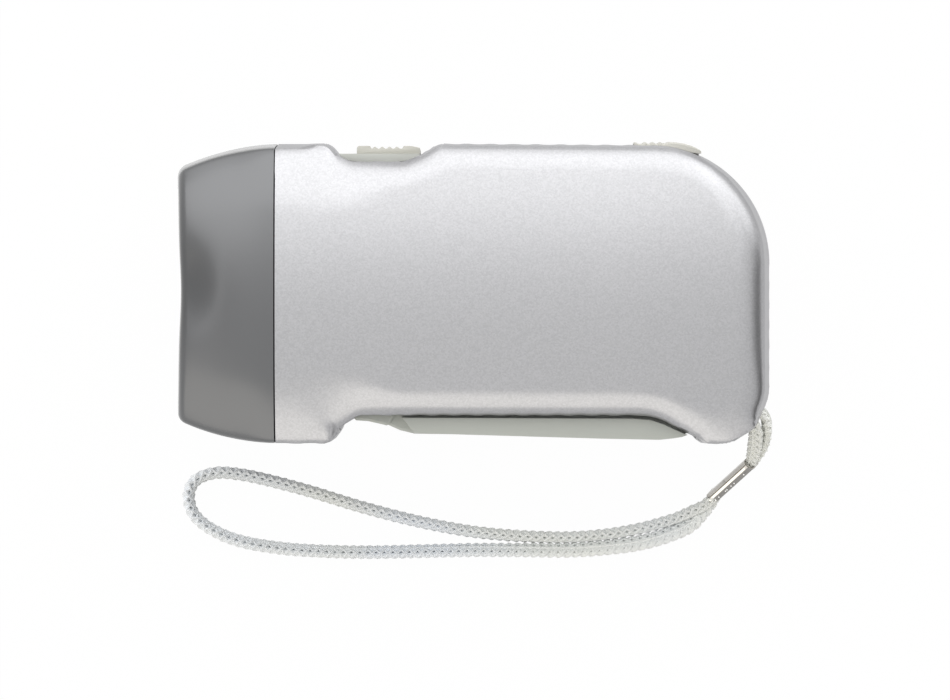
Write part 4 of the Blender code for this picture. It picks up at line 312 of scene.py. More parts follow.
def windingFinish(name, look):
    # enamelled wire wound side by side round the bobbin
    made, graph, place = startMaterial(name)
    settings = {"wave_type": "BANDS", "bands_direction": "X", "wave_profile": "SIN"}
    inputs = {"Vector": place, "Scale": look["turnScale"], "Distortion": look["waver"],
              "Detail": 1.0}
    turns = graph.add("ShaderNodeTexWave", settings, inputs).out("Fac")
    cloud = noise(graph, place, look["cloudScale"])
    colour = graph.blend(turns, look["gap"], look["wire"])
    surface = {
        "Base Color": graph.scaled(colour, 1 + swing(cloud, look["cloudSpread"])),
        "Metallic": look["metallic"],
        "Roughness": look["roughness"] + swing(cloud, look["roughSpread"]),
    }
    finishMaterial(graph, surface, [(turns, look["turnDepth"])])
    return made


silverLook = {
    "colour": (0.402, 0.402, 0.413),
    "metallic": 0.9,
    "edgeTint": (0.76, 0.76, 0.77),  # how much a grazing view keeps of the full reflection
    "roughness": 0.33,
    "roughSpread": 0.06,
    "flakeScale": 4200.0,
    "flakeSpread": 0.15,
    "flakeDepth": 0.000001,
    "grainScale": 2600.0,
    "grainDepth": 0.000003,
    "cloudScale": 45.0,
    "cloudSpread": 0.02,
    "coat": 0.06,
    "coatRoughness": 0.22,
}
smokeLook = {
    "colour": (0.106, 0.108, 0.112),
    "metallic": 0.85,
    "roughness": 0.33,
    "roughSpread": 0.08,
    "grainScale": 5200.0,
    "grainSpread": 0.06,
    "grainDepth": 0.000006,
    "cloudScale": 90.0,
    "cloudSpread": 0.04,
    "coat": 1.0,
    "coatRoughness": 0.25,
    # a painted shade near the rim's scoop: its middle, its half sizes and how much darker it is
    # painted
    "paintedShadePlace": (-0.0500, 0.0009),
    "paintedShadeHalf": (0.0078, 0.0098),
    "paintedShadeDark": 0.33,
}
mouldedLook = {  # what the moulded plastics share
    "grainScale": 5200.0,
    "grainSpread": 0.06,
    "grainDepth": 0.000012,
    "roughSpread": 0.08,
    "cloudScale": 90.0,
    "cloudSpread": 0.10,
    "rubScale": 160.0,
    "rubEdges": (0.56, 0.7),
    "rubShine": 0.10,
}
metalLook = {  # what the bare metals share
    "metallic": 1.0,
    "streakScale": 900.0,
    "stretch": (1.0, 1.0, 0.06),
    "streakSpread": 0.25,
    "streakDepth": 0.00001,
    "roughSpread": 0.16,
    "spotScale": 700.0,
    "spotEdges": (0.55, 0.75),
    "spotRough": 0.12,
    "stain": 0.2,
}
clearLook = {  # what the clear plastics share
    "waveDepth": 0.00001,
    "scuffScale": 600.0,
    "scuffEdges": (0.60, 0.75),
    "scuffRough": 0.10,
}
yarnLook = {
    "cool": (0.90, 0.93, 0.97),
    "warm": (0.90, 0.91, 0.87),
    "patchScale": 26.0,
    "patchEdges": (0.38, 0.62),
    "filaments": 14.0,
    "stretch": (0.05, 1.0, 1.0),
    "filamentSpread": 0.16,
    "filamentDepth": 0.000006,
    "roughness": 0.40,
    "roughSpread": 0.15,
    "sheen": 0.35,
    "sheenRoughness": 0.4,
    "specular": 0.4,
}
boardLook = {
    "lacquer": (0.015, 0.13, 0.055),
    "track": (0.05, 0.26, 0.10),
    "trackScale": 260.0,
    "trackShare": 0.6,
    "gapSize": 0.03,
    "gapSmooth": 0.2,
    "trackDepth": 0.00002,
    "weaveScale": 1400.0,
    "weaveSpread": 0.2,
    "roughness": 0.36,
    "roughSpread": 0.1,
}
windingLook = {
    "wire": (0.72, 0.31, 0.13),
    "gap": (0.22, 0.07, 0.03),
    "turnScale": 1400.0,
    "waver": 0.4,
    "turnDepth": 0.00006,
    "cloudScale": 300.0,
    "cloudSpread": 0.3,
    "metallic": 0.9,
    "roughness": 0.3,
    "roughSpread": 0.1,
}
finishes = {
    "silver": paintedFinish("silver_paint", silverLook),
    "smoke": smokedFinish("smoked_plastic", smokeLook),
    "knob": mouldedFinish("beige_plastic", (0.54, 0.53, 0.48), 0.42),
    "trim": mouldedFinish("trim_plastic", (0.49, 0.50, 0.46), 0.45),
    "lever": mouldedFinish("lever_plastic", (0.47, 0.49, 0.455), 0.42),
    "black": mouldedFinish("black_plastic", (0.022, 0.022, 0.024), 0.45),
    "nylon": mouldedFinish("white_nylon", (0.74, 0.73, 0.68), 0.48),
    "wireRed": mouldedFinish("red_wire_skin", (0.50, 0.02, 0.02), 0.38),
    "wireBlack": mouldedFinish("black_wire_skin", (0.02, 0.02, 0.02), 0.38),
    "phosphor": mouldedFinish("led_phosphor", (0.78, 0.66, 0.16), 0.6, grainScale=9000.0),
    "steel": metalFinish("drawn_steel", (0.58, 0.575, 0.56), 0.30),
    "crimp": metalFinish("folded_steel", (0.52, 0.50, 0.47), 0.24, streakSpread=0.3, stain=0.3),
    # lighter and darker copies of the crimp's steel: a painted highlight and a painted shade
    "rubbed_and_highlit": metalFinish("rubbed_steel", (0.74, 0.70, 0.64), 0.22, streakSpread=0.15),
    "painted_shade": metalFinish("dull_steel", (0.27, 0.26, 0.245), 0.34, streakSpread=0.3),
    # near white steel for the crimp's pips: a painted glint
    "painted_glint": metalFinish("polished_steel", (0.92, 0.91, 0.89), 0.16, streakSpread=0.05),
    "magnet": metalFinish("ferrite", (0.10, 0.10, 0.105), 0.5, metallic=0.4, streakSpread=0.5),
    "mirror": metalFinish(
        "mirror_coating", (0.86, 0.86, 0.87), 0.10, streakSpread=0.03, stain=0.04, streakDepth=0.0
    ),
    "lens": clearFinish(
        "clear_lens", (0.97, 0.98, 0.99), 0.02, transmission=1.0, ior=1.47, waveScale=60.0
    ),
    "resin": clearFinish(
        "led_resin", (0.95, 0.96, 0.97), 0.04, transmission=0.92, ior=1.52, waveScale=400.0
    ),
    "board": boardFinish("circuit_board", boardLook),
    "winding": windingFinish("coil_winding", windingLook),
    "yarn": yarnFinish("braided_yarn", yarnLook),
}
print("materials made:", len(finishes))


# Camera at the photograph's angle
cameraLook = {
    "distance": 0.95,  # from the torch's middle plane
    "width": 0.16936,  # across the picture, at that plane
    "aim": (0.00018, -0.01027, 0.020),
    "sensor": 36.0,
    "clip": (0.01, 20),
}


def addObject(name, data):
    obj = bpy.data.objects.new(name, data)
    bpy.context.scene.collection.objects.link(obj)
    return obj


def makeCamera(look):
    data = bpy.data.cameras.new("camera")
    data.sensor_fit = "HORIZONTAL"
    data.sensor_width = look["sensor"]
    data.lens = look["sensor"] * look["distance"] / look["width"]
    data.clip_start, data.clip_end = look["clip"]
    camera = addObject("camera", data)
    camera.location = Vector(look["aim"]) + Vector((0, 0, look["distance"]))
    bpy.context.scene.camera = camera


makeCamera(cameraLook)


# Making and finishing pieces
def addPiece(name, mesh, finish):
    mesh.materials.clear()
    mesh.materials.append(finishes[finish])
    return addObject(name, mesh)


def shaded(mesh, angle):
    mesh.shade_smooth()
    mesh.set_sharp_from_angle(angle=math.radians(angle))
    return mesh


def meshFrom(work, name, angle=35):
    bmesh.ops.remove_doubles(work, verts=work.verts, dist=0.000001)
    bmesh.ops.recalc_face_normals(work, faces=work.faces)
    mesh = bpy.data.meshes.new(name)
    work.to_mesh(mesh)
    work.free()
    return shaded(mesh, angle)


def finalMesh(obj):
    # the modifiers' result as a plain mesh
    bpy.context.view_layer.update()
    depsgraph = bpy.context.evaluated_depsgraph_get()
    return bpy.data.meshes.new_from_object(obj.evaluated_get(depsgraph), depsgraph=depsgraph)


def settle(obj, angle=35):
    mesh = finalMesh(obj)
    obj.modifiers.clear()
    obj.data = shaded(mesh, angle)
    return obj


def carve(obj, tool, operation="DIFFERENCE"):
    change = obj.modifiers.new(tool.name, "BOOLEAN")
    change.operation = operation
    change.object = tool
    change.solver = "EXACT"
    tool["isTool"] = True
def settleCuts(obj, angle):
    # settles a piece whose tools have done their work
    settle(obj, angle)
    for tool in [o for o in bpy.data.objects if o.get("isTool")]:
        bpy.data.objects.remove(tool, do_unlink=True)


def bevelled(obj, width, segments, angle):
    change = obj.modifiers.new("Edges", "BEVEL")
    change.width = width
    change.segments = segments
    change.limit_method = "ANGLE"
    change.angle_limit = math.radians(angle)
    change.harden_normals = True


def ring(centre, radius, sides, axis="Z"):
    points = []
    for k in range(sides):
        angle = math.tau * k / sides
        a, b = radius * math.cos(angle), radius * math.sin(angle)
        offset = (a, b, 0) if axis == "Z" else (0, a, b)
        points.append(Vector(centre) + Vector(offset))
    return points


def vertexLoops(work, loops):
    return [[work.verts.new(p) for p in loop] for loop in loops]


def bridge(work, loops, closed=True):
    # faces from each loop to the next
    for low, high in zip(loops, loops[1:]):
        for i in range(len(low) if closed else len(low) - 1):
            k = (i + 1) % len(low)
            work.faces.new((low[i], low[k], high[k], high[i]))


def splitQuads(work):
    bmesh.ops.triangulate(work, faces=[f for f in work.faces if len(f.verts) == 4])


def loftMesh(name, rings, closed=False, angle=35):
    # a skin over rings, with flat ends or joined into a tube that meets itself
    work = bmesh.new()
    grid = vertexLoops(work, rings)
    bridge(work, grid + grid[:1] if closed else grid)
    if not closed:
        work.faces.new(grid[0])
        work.faces.new(grid[-1])
    splitQuads(work)
    return meshFrom(work, name, angle)


def slab(name, outline, low, high, finish="trim"):
    # an outline in X and Y given a thickness along Z
    work = bmesh.new()
    face = work.faces.new([work.verts.new((x, y, low)) for x, y in outline])
    top = bmesh.ops.extrude_face_region(work, geom=[face])
    moved = [v for v in top["geom"] if isinstance(v, bmesh.types.BMVert)]
    bmesh.ops.translate(work, verts=moved, vec=(0, 0, high - low))
    return addPiece(name, meshFrom(work, name), finish)


def boxTool(name, low, high):
    outline = [(low[0], low[1]), (high[0], low[1]), (high[0], high[1]), (low[0], high[1])]
    return slab(name, outline, low[2], high[2])


def barTool(name, place, radius, low, high, sides=40):
    rings = [ring((*place, z), radius, sides) for z in (min(low, high), max(low, high))]
    return addPiece(name, loftMesh(name, rings), "trim")


def roundedPath(corners, step, turn):
    # points along straight runs between corners given as (x, y, radius)
    spots = [Vector(c[:2]) for c in corners]
    path = []
    for i, here in enumerate(spots):
        radius = corners[i][2]
        if radius == 0 or i in (0, len(spots) - 1):
            path.append(here)
            continue
        back = (spots[i - 1] - here).normalized()
        ahead = (spots[i + 1] - here).normalized()
        half = math.acos(max(-1, min(1, back.dot(ahead)))) / 2
        reach = radius / math.tan(half)
        centre = here + (back + ahead).normalized() * (radius / math.sin(half))
        start = here + back * reach - centre
        sweep = math.pi - 2 * half
        way = 1 if back.x * ahead.y - back.y * ahead.x < 0 else -1
        pieces = max(1, math.ceil(sweep / turn))
        for k in range(pieces + 1):
            path.append(centre + Matrix.Rotation(way * sweep * k / pieces, 2) @ start)
    points = []
    for start, end in zip(path, path[1:]):
        pieces = max(1, math.ceil((end - start).length / step))
        points += [start.lerp(end, k / pieces) for k in range(pieces)]
    points.append(path[-1])
    return np.array([tuple(p) for p in points])


# Cords: the braided strap's small loop and its wrist loop
wristRoute = [
    (0.0436, -0.0369, 0.0042), (0.0417, -0.0385, 0.0036), (0.0392, -0.0397, 0.0028),
    (0.0365, -0.0409, 0.0020),
    (0.0306, -0.0426, 0.0012), (0.0239, -0.0438, 0.0011), (0.0174, -0.0443, 0.0011),
    (0.0111, -0.0442, 0.0011), (0.0047, -0.0438, 0.0011), (-0.0020, -0.0430, 0.0011),
    (-0.0107, -0.0413, 0.0011), (-0.0204, -0.0388, 0.0011), (-0.0296, -0.0360, 0.0011),
    (-0.0367, -0.0341, 0.0011), (-0.0423, -0.0329, 0.0011), (-0.0469, -0.0326, 0.0011),
    (-0.0505, -0.0339, 0.0011), (-0.0518, -0.0365, 0.0011), (-0.0510, -0.0399, 0.0011),
    (-0.0479, -0.0427, 0.0011), (-0.0428, -0.0449, 0.0011), (-0.0357, -0.0462, 0.0011),
    (-0.0281, -0.0468, 0.0011), (-0.0189, -0.0470, 0.0011), (-0.0092, -0.0468, 0.0011),
    (0.0000, -0.0466, 0.0011), (0.0092, -0.0466, 0.0011), (0.0174, -0.0466, 0.0011),
    (0.0245, -0.0461, 0.0011), (0.0306, -0.0452, 0.0011), (0.0357, -0.0437, 0.0011),
    (0.0393, -0.0420, 0.0011), (0.0415, -0.0396, 0.0013), (0.0430, -0.0379, 0.0018),
    (0.0441, -0.0363, 0.0026),
]
eyeRoute = [
    (0.0499, -0.0304, 0.0098), (0.0503, -0.0284, 0.0121), (0.0505, -0.0262, 0.0144),
    (0.0502, -0.0240, 0.0162), (0.0484, -0.0225, 0.0168), (0.0466, -0.0213, 0.0168),
    (0.0463, -0.0197, 0.0168), (0.0475, -0.0190, 0.0168), (0.0490, -0.0194, 0.0168),
    (0.0506, -0.0206, 0.0168), (0.0521, -0.0222, 0.0161), (0.0525, -0.0243, 0.0146),
    (0.0523, -0.0264, 0.0127), (0.0514, -0.0286, 0.0107), (0.0502, -0.0303, 0.0094),
]
braidSizes = {  # the braid tree's inputs and what they are called in a cord's own values
    "Half width": "halfWidth", "Half thickness": "halfThickness", "Pitch": "pitch",
    "Strand width": "strandWidth", "Strand thickness": "strandThickness", "Lift": "lift",
}
braidLook = {
    "eachWay": 4,  # strands that wind each way
    "shift": 0.4,  # how far the two ways are turned past each other
    "sides": 10,
    "coreSides": 12,
    "coreWidth": 0.85,  # shares of the half width and the half thickness
    "coreThickness": 0.6,
}
wristLook = {
    "halfWidth": 0.00113,  # to the strands' middles
    "halfThickness": 0.00042,
    "pitch": 0.0060,  # one turn of a strand round the braid
    "strandWidth": 0.00054,
    "strandThickness": 0.00025,
    "lift": 0.00008,
    "rolls": [(0, 30), (0.06, 20), (0.25, 24), (0.42, 30), (0.5, 20), (0.6, 28), (0.75, 38),
              (0.9, 60), (1, 60)],
    "squeeze": 0.6,  # of the width, where the crimp holds it
    "squeezeRun": 0.004,
    "clear": 0.00046,  # kept between the braid's middle line and the table, over its own height
    "twist": "Z_UP",
    "points": 620,
}
eyeLook = dict(wristLook, pitch=0.0056, points=120, squeeze=0.62, twist="MINIMUM",
               rolls=[(0, 55), (0.25, 55), (0.5, 90), (0.75, 45), (1, 45)])


def smoothRoute(points, count, steps=12):
    # evenly spaced points on a smooth curve through the route's own
    spots = [Vector(p) for p in points]
    padded = [spots[0] * 2 - spots[1]] + spots + [spots[-1] * 2 - spots[-2]]
    fine = []
    for a, b, c, d in zip(padded, padded[1:], padded[2:], padded[3:]):
        for k in range(steps):
            t = k / steps
            fine.append(
                (b * 2 + (c - a) * t + (a * 2 - b * 5 + c * 4 - d) * t**2
                 + (b * 3 - a - c * 3 + d) * t**3) / 2
            )
    fine.append(spots[-1])
    fine = np.array([tuple(p) for p in fine])
    lengths = np.r_[0, np.cumsum(np.linalg.norm(np.diff(fine, axis=0), axis=1))]
    marks = np.linspace(0, lengths[-1], count)
    even = np.stack([np.interp(marks, lengths, fine[:, i]) for i in range(3)], axis=1)
    return even, lengths[-1]


def startTree(name, sizes):
    # a tree that takes geometry, named sizes and a material, and gives geometry
    tree = bpy.data.node_groups.new(name, "GeometryNodeTree")
    kinds = {"Geometry": "Geometry", **dict.fromkeys(sizes, "Float"), "Material": "Material"}
    for label, kind in kinds.items():
        tree.interface.new_socket(label, in_out="INPUT", socket_type="NodeSocket" + kind)
    tree.interface.new_socket("Geometry", in_out="OUTPUT", socket_type="NodeSocketGeometry")
    graph = Graph(tree)
    return tree, graph, graph.add("NodeGroupInput")


def endTree(graph, given, geometry):
    whole = graph.add("GeometryNodeRealizeInstances", {}, {"Geometry": geometry})
    coloured = graph.add(
        "GeometryNodeSetMaterial", {}, {"Geometry": whole, "Material": given.out("Material")}
    )
    graph.add("NodeGroupOutput", {}, {"Geometry": coloured})


def capture(graph, geometry, kinds, values):
    # geometry that carries values along under their names
    kept = graph.add("GeometryNodeCaptureAttribute", {}, {"Geometry": geometry})
    node = kept.socket.node
    for name, kind in kinds.items():
        node.capture_items.new(kind, name)
    for name, value in zip(kinds, values):
        graph.tree.links.new(value.socket, node.inputs[name])
    return kept


def braidTree(look):
    # strands that pass over and under each other in four columns round a flat core
    tree, graph, given = startTree("braid", braidSizes)
    eachWay = look["eachWay"]

    def oval(sides, wide, deep):
        circle = graph.add(
            "GeometryNodeCurvePrimitiveCircle", {"mode": "RADIUS"},
            {"Resolution": sides, "Radius": 1.0},
        )
        size = graph.vector(wide, deep, 1.0)
        return graph.add("GeometryNodeTransform", {}, {"Geometry": circle, "Scale": size})

    def sweep(path, profile):
        inputs = {"Curve": path, "Profile Curve": profile, "Fill Caps": True}
        return graph.add("GeometryNodeCurveToMesh", {}, inputs)

    copies = graph.add(
        "GeometryNodeDuplicateElements", {"domain": "SPLINE"},
        {"Geometry": given.out("Geometry"), "Amount": 2 * eachWay},
    )
    number = copies.out("Duplicate Index")
    run = graph.add("GeometryNodeSplineParameter").out("Length")
    way = 1 - 2 * (number / eachWay).floor()
    turn = way * run * math.tau / given.out("Pitch")
    turn = turn + number * math.tau / eachWay + way * look["shift"]
    across, up = turn.cos(), turn.sin()
    normal = graph.add("GeometryNodeInputNormal")
    tangent = graph.add("GeometryNodeInputTangent")
    side = graph.add(
        "ShaderNodeVectorMath", {"operation": "CROSS_PRODUCT"}, {0: tangent, 1: normal}
    )
    snug = graph.add("GeometryNodeInputRadius")
    wide, deep = given.out("Half width") * snug, given.out("Half thickness")
    outward = side * (across / wide) + normal * (up / deep)
    outward = graph.add("ShaderNodeVectorMath", {"operation": "NORMALIZE"}, {0: outward})
    lift = given.out("Lift") * (turn * 2).sin() * way
    shift = side * (across * wide) + normal * (up * deep) + outward * lift
    kept = capture(graph, copies, {"Outward": "VECTOR", "Run": "FLOAT"}, (outward, run))
    moved = graph.add(
        "GeometryNodeSetPosition", {}, {"Geometry": kept.out("Geometry"), "Offset": shift}
    )
    turned = graph.add(
        "GeometryNodeSetCurveNormal", {"mode": "FREE"},
        {"Curve": moved, "Normal": kept.out("Outward")},
    )
    even = graph.add("GeometryNodeSetCurveRadius", {}, {"Curve": turned, "Radius": 1.0})
    strand = oval(look["sides"], given.out("Strand width"), given.out("Strand thickness"))
    around = graph.add("GeometryNodeSplineParameter").out("Factor")
    strand = capture(graph, strand, {"Around": "FLOAT"}, (around,))
    place = graph.vector(kept.out("Run") * 1000.0, strand.out("Around"), number)  # mm along
    mapped = graph.add(
        "GeometryNodeStoreNamedAttribute", {"data_type": "FLOAT2", "domain": "CORNER"},
        {"Geometry": sweep(even, strand.out("Geometry")), "Name": "yarn", "Value": place},
    )
    disc = oval(look["coreSides"], given.out("Half width") * look["coreWidth"],
                given.out("Half thickness") * look["coreThickness"])
    core = sweep(given.out("Geometry"), disc)
    joined = graph.add("GeometryNodeJoinGeometry", {}, {"Geometry": [mapped, core]})
    smooth = graph.add("GeometryNodeSetShadeSmooth", {}, {"Geometry": joined})
    endTree(graph, given, smooth)
    return tree


def runTree(obj, tree, values):
    # runs a node tree on an object once and keeps its result as a plain mesh
    change = obj.modifiers.new(tree.name, "NODES")
    change.node_group = tree
    for item in tree.interface.items_tree:
        if item.in_out == "INPUT" and item.name in values:
            change[item.identifier] = values[item.name]
    name, mesh = obj.name, finalMesh(obj)
    bpy.data.objects.remove(obj, do_unlink=True)
    return addObject(name, mesh)


def braidedCord(name, route, look, tree):
    line, length = smoothRoute(route, look["points"])
    share = np.linspace(0, 1, len(line))
    rolls = np.array(look["rolls"], float)
    roll = np.radians(np.interp(share, rolls[:, 0], rolls[:, 1]))
    tall = look["halfWidth"] + look["strandWidth"] / 2
    flat = look["halfThickness"] + look["strandThickness"] + look["lift"]
    rise = tall * np.abs(np.sin(roll)) + flat * np.abs(np.cos(roll))
    line[:, 2] = np.maximum(line[:, 2], rise + look["clear"])
    curve = bpy.data.curves.new(name, "CURVE")
    curve.dimensions = "3D"
    curve.twist_mode = look["twist"]
    spline = curve.splines.new("POLY")
    spline.points.add(len(line) - 1)
    ends = np.minimum(share, 1 - share) * length
    snug = look["squeeze"] + (1 - look["squeeze"]) * np.clip(ends / look["squeezeRun"], 0, 1)
    for point, place, tilt, radius in zip(spline.points, line, roll, snug):
        point.co = (*place, 1)
        point.tilt = tilt
        point.radius = radius
    values = {label: look[key] for label, key in braidSizes.items()}
    made = runTree(addObject(name, curve), tree, dict(values, Material=finishes["yarn"]))
    return made, line, length


# Crimp: a folded steel sleeve with a row of stamped pips, with a painted highlight on some runs of
# its outline, painted shade on others and a painted glint on the pips
crimpLook = {
    "top": (0.0500, -0.0305, 0.0094),
    "foot": (0.0435, -0.0368, 0.0032),
    "outline": [  # across and towards the viewer, in thousandths, from one lip to the other
        (0.44, 1.56), (0.50, 1.80), (0.60, 1.86), (1.00, 1.45), (1.08, 1.20), (1.08, -1.20),
        (0.80, -1.75), (0.30, -1.95), (-0.30, -1.95), (-0.80, -1.75), (-1.08, -1.20),
        (-1.08, 0.75), (-1.00, 1.02), (-0.24, 1.80), (-0.14, 1.92), (-0.04, 1.96), (0.30, 1.93),
        (0.38, 1.86), (0.41, 1.58),
    ],
    "wall": 0.3,
    "flare": 0.07,  # how much wider it is at its two ends, over this share of its length
    "flareRun": 0.05,
    "packed": 0.97,  # the strands inside, as a share of the hollow
    "packedRun": (0.04, 0.985),
    "steps": 24,
    "rubbed_and_highlit": range(14, 17),  # the outline's runs painted lighter as a painted highlight, and the ones painted darker as painted shade
    "painted_shade": range(11, 14),
    # the pips are stamped marks, and their near white colour is a painted glint
    "pips": (0.06, 0.15, 0.325, 0.365, 0.475, 0.555, 0.81),  # shares of the length
    "pipPlace": (-0.62, 1.42),
    "pipRadius": 0.00017,
    "pipFaces": 80,
}


def makeCrimp():
    look = crimpLook
    top, foot = Vector(look["top"]), Vector(look["foot"])
    axis = (top - foot).normalized()
    facing = (Vector((0, 0, 1)) - axis * axis.z).normalized()
    across = facing.cross(axis)
    outer = look["outline"]
    wide, deep = (max(p[i] for p in outer) for i in (0, 1))
    inner = [(u * (1 - look["wall"] / wide), v * (1 - look["wall"] / deep)) for u, v in outer]
    loops = []
    for k in range(look["steps"] + 1):
        share = k / look["steps"]
        rim = max(0, 1 - min(share, 1 - share) / look["flareRun"])
        flare = 1 + look["flare"] * rim**2
        centre = foot.lerp(top, share)
        loops.append([centre + (across * u + facing * v) * flare / 1000
                      for u, v in outer + inner[::-1]])
    work = bmesh.new()
    grid = vertexLoops(work, loops)
    total, seam = len(grid[0]), len(outer)
    bridge(work, grid)
    for loop in (grid[0], grid[-1]):
        for i in range(seam - 1):
            work.faces.new((loop[i], loop[i + 1], loop[total - 2 - i], loop[total - 1 - i]))
    held = [(u * look["packed"], v * look["packed"]) for u, v in inner]
    ends = vertexLoops(work, [[foot.lerp(top, share) + (across * u + facing * v) / 1000
                               for u, v in held] for share in look["packedRun"]])
    bridge(work, ends)
    work.faces.new(ends[0][::-1])
    work.faces.new(ends[1])
    u, v = look["pipPlace"]
    for share in look["pips"]:
        spot = foot.lerp(top, share) + (across * u + facing * v) / 1000
        flat = Matrix.Translation(spot) @ Matrix.Scale(look["pipRadius"], 4)
        bmesh.ops.create_icosphere(work, subdivisions=2, radius=1, matrix=flat)
    crimp = addPiece("strap_sleeve", meshFrom(work, "strap_sleeve", 28), "crimp")
    # the crimp's extra finishes: near white steel as a painted glint, lighter steel as a painted
    # highlight and darker steel as painted shade
    for finish in ("painted_glint", "nylon", "rubbed_and_highlit", "painted_shade"):
        crimp.data.materials.append(finishes[finish])
    pips = len(crimp.data.polygons) - look["pipFaces"] * len(look["pips"])
    for number, face in enumerate(crimp.data.polygons):
        # the pips' faces take the near white steel, a painted glint
        if number >= pips:
            face.material_index = 1
        elif number >= pips - seam - 2:  # the strands packed inside
            face.material_index = 2
        # runs of the outline painted lighter as a painted highlight, then runs painted darker as
        # painted shade
        elif number < total * look["steps"] and number % total in look["rubbed_and_highlit"]:
            face.material_index = 3
        elif number < total * look["steps"] and number % total in look["painted_shade"]:
            face.material_index = 4
    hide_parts("strap_crimp")
    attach(crimp, "housing")
    return crimp


def makeStrap(crimp):
    tree = braidTree(braidLook)
    wrist, line, length = braidedCord("wrist_loop", wristRoute, wristLook, tree)
    eye, eyeLine, eyeLength = braidedCord("eye_loop", eyeRoute, eyeLook, tree)
    print(f"strap: wrist loop {length:.3f} m, eye loop {eyeLength:.3f} m,",
          len(wrist.data.polygons) + len(eye.data.polygons), "faces")
    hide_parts("wrist_strap")
    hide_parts("strap_eye_loop")
    for piece, spots, run, every in ((wrist, line, length, 6), (eye, eyeLine, eyeLength, 4)):
        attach(piece, "housing")
        [tuple(p) for p in spots[::every]] + [tuple(spots[-1])]


makeStrap(makeCrimp())


# Body: both moulded halves
bodyLook = {
    "corners": [
        (-0.03485, 0.02644, 0), (-0.0254, 0.02644, 0.0025), (-0.0226, 0.02304, 0.004),
        (-0.0119, 0.02304, 0.004), (-0.0063, 0.02644, 0.0035), (0.0526, 0.0260, 0.021),
        (0.0526, -0.0186, 0.008), (0.0501, -0.0243, 0.003), (0.0445, -0.0268, 0.006),
        (0.0402, -0.0268, 0.0003), (0.0402, -0.0262, 0), (0.0314, -0.0218, 0.012),
        (-0.02015, -0.02175, 0.003), (-0.02405, -0.0241, 0), (-0.02365, -0.0247, 0.00015),
        (-0.02545, -0.0267, 0.0016), (-0.03485, -0.0267, 0),
    ],
    "joint": -0.03485,
    "tail": 0.0526,
    "middle": 0.020,
    "halfWidth": 0.020,
    "halfHeight": 0.0268,
    "wall": 0.0018,
    "rounding": 0.0047,
    "roundingHead": 0.0070,  # how much more it is at the joint
    "roundingTail": 0.0018,  # and at the tail
    "leanTop": 0.0006,  # how far the side wall slopes in on its way up
    "leanTail": 0.0016,
    "leanHead": 0.0006,  # added above, by the joint
    "leanBottom": 0.00012,
    "recessShare": 0.7,  # how much steeper it is in the switch's recess
    "stripTop": 0.0153,
    "stripBottom": 0.0155,
    "crownDrop": 0.0022,
    "tailDrop": 0.0020,
    "bandHalf": 0.006,
    "bandEnd": 0.025,
    "seamRound": 0.00012,
    "frontRound": 0.00008,
    # where each of these changes starts, towards the tail or up, and the length it takes
    "tailRun": (0.034, 0.016),
    "tailRounder": (0.038, 0.010),
    "recessFront": (-0.0254, 0.003),
    "recessHigh": (0.012, 0.005),
    "leanHigh": (-0.021, 0.012),
    "leanHighTail": (-0.0265, 0.006),
    # and where these start, towards the head or down
    "recessRear": (0.0085, 0.003),
    "headRun": (0.0265, 0.005),
    "headRounder": (0.012, 0.018),
    "stripRun": (0.008, 0.008),
}
outerDepths = [0.00012, 0.0004, 0.0009, 0.0014, 0.0016, 0.0019, 0.0023, 0.0028, 0.0034, 0.0041,
               0.0048, 0.0054]


def ramp(value, start, length):
    # 0 up to the start, and from there a smooth rise to 1 over the length
    share = np.clip((value - start) / length, 0, 1)
    return share * share * (3 - 2 * share)


def stripAt(y):
    low, high = bodyLook["stripTop"], bodyLook["stripBottom"]
    return low + (high - low) * ramp(-y, *bodyLook["stripRun"])


def leanAt(x, y):
    tail = ramp(x, *bodyLook["tailRun"])
    recess = ramp(x, *bodyLook["recessFront"]) * ramp(-x, *bodyLook["recessRear"])
    recess = recess * ramp(y, *bodyLook["recessHigh"])
    upper = bodyLook["leanTop"] * (1 - bodyLook["recessShare"] * recess)
    upper = upper + (bodyLook["leanTail"] - upper) * tail
    high = np.maximum(ramp(y, *bodyLook["leanHigh"]), tail * ramp(y, *bodyLook["leanHighTail"]))
    upper = upper + bodyLook["leanHead"] * ramp(-x, *bodyLook["headRun"])
    return bodyLook["leanBottom"] + (upper - bodyLook["leanBottom"]) * high


def crownAt(x, y):
    side = np.abs(y) / bodyLook["halfHeight"]
    tail = np.maximum(x - bodyLook["bandEnd"], 0) / (bodyLook["tail"] - bodyLook["bandEnd"])
    return bodyLook["halfWidth"] - bodyLook["crownDrop"] * side**2 - bodyLook["tailDrop"] * tail**2


def skinHeight(x, y, depth, inset=0.0):
    # half the body's thickness at a point that lies some depth inside its edge
    outside = 0 if inset else 1  # the inner skin has plain upright walls
    lean = leanAt(x, y) * outside
    strip = stripAt(y) - inset
    crown = crownAt(x, y) - inset
    more = bodyLook["roundingHead"] * ramp(-x, *bodyLook["headRounder"])
    more = (more + bodyLook["roundingTail"] * ramp(x, *bodyLook["tailRounder"])) * outside
    reach = bodyLook["rounding"] + more - inset / 2 - lean
    rise = 1 - np.clip((depth - lean) / reach, 0, 1)
    height = strip + (crown - strip) * np.sqrt(1 - rise**2)
    return np.where(depth < lean, strip * depth / np.maximum(lean, 1e-6), height)


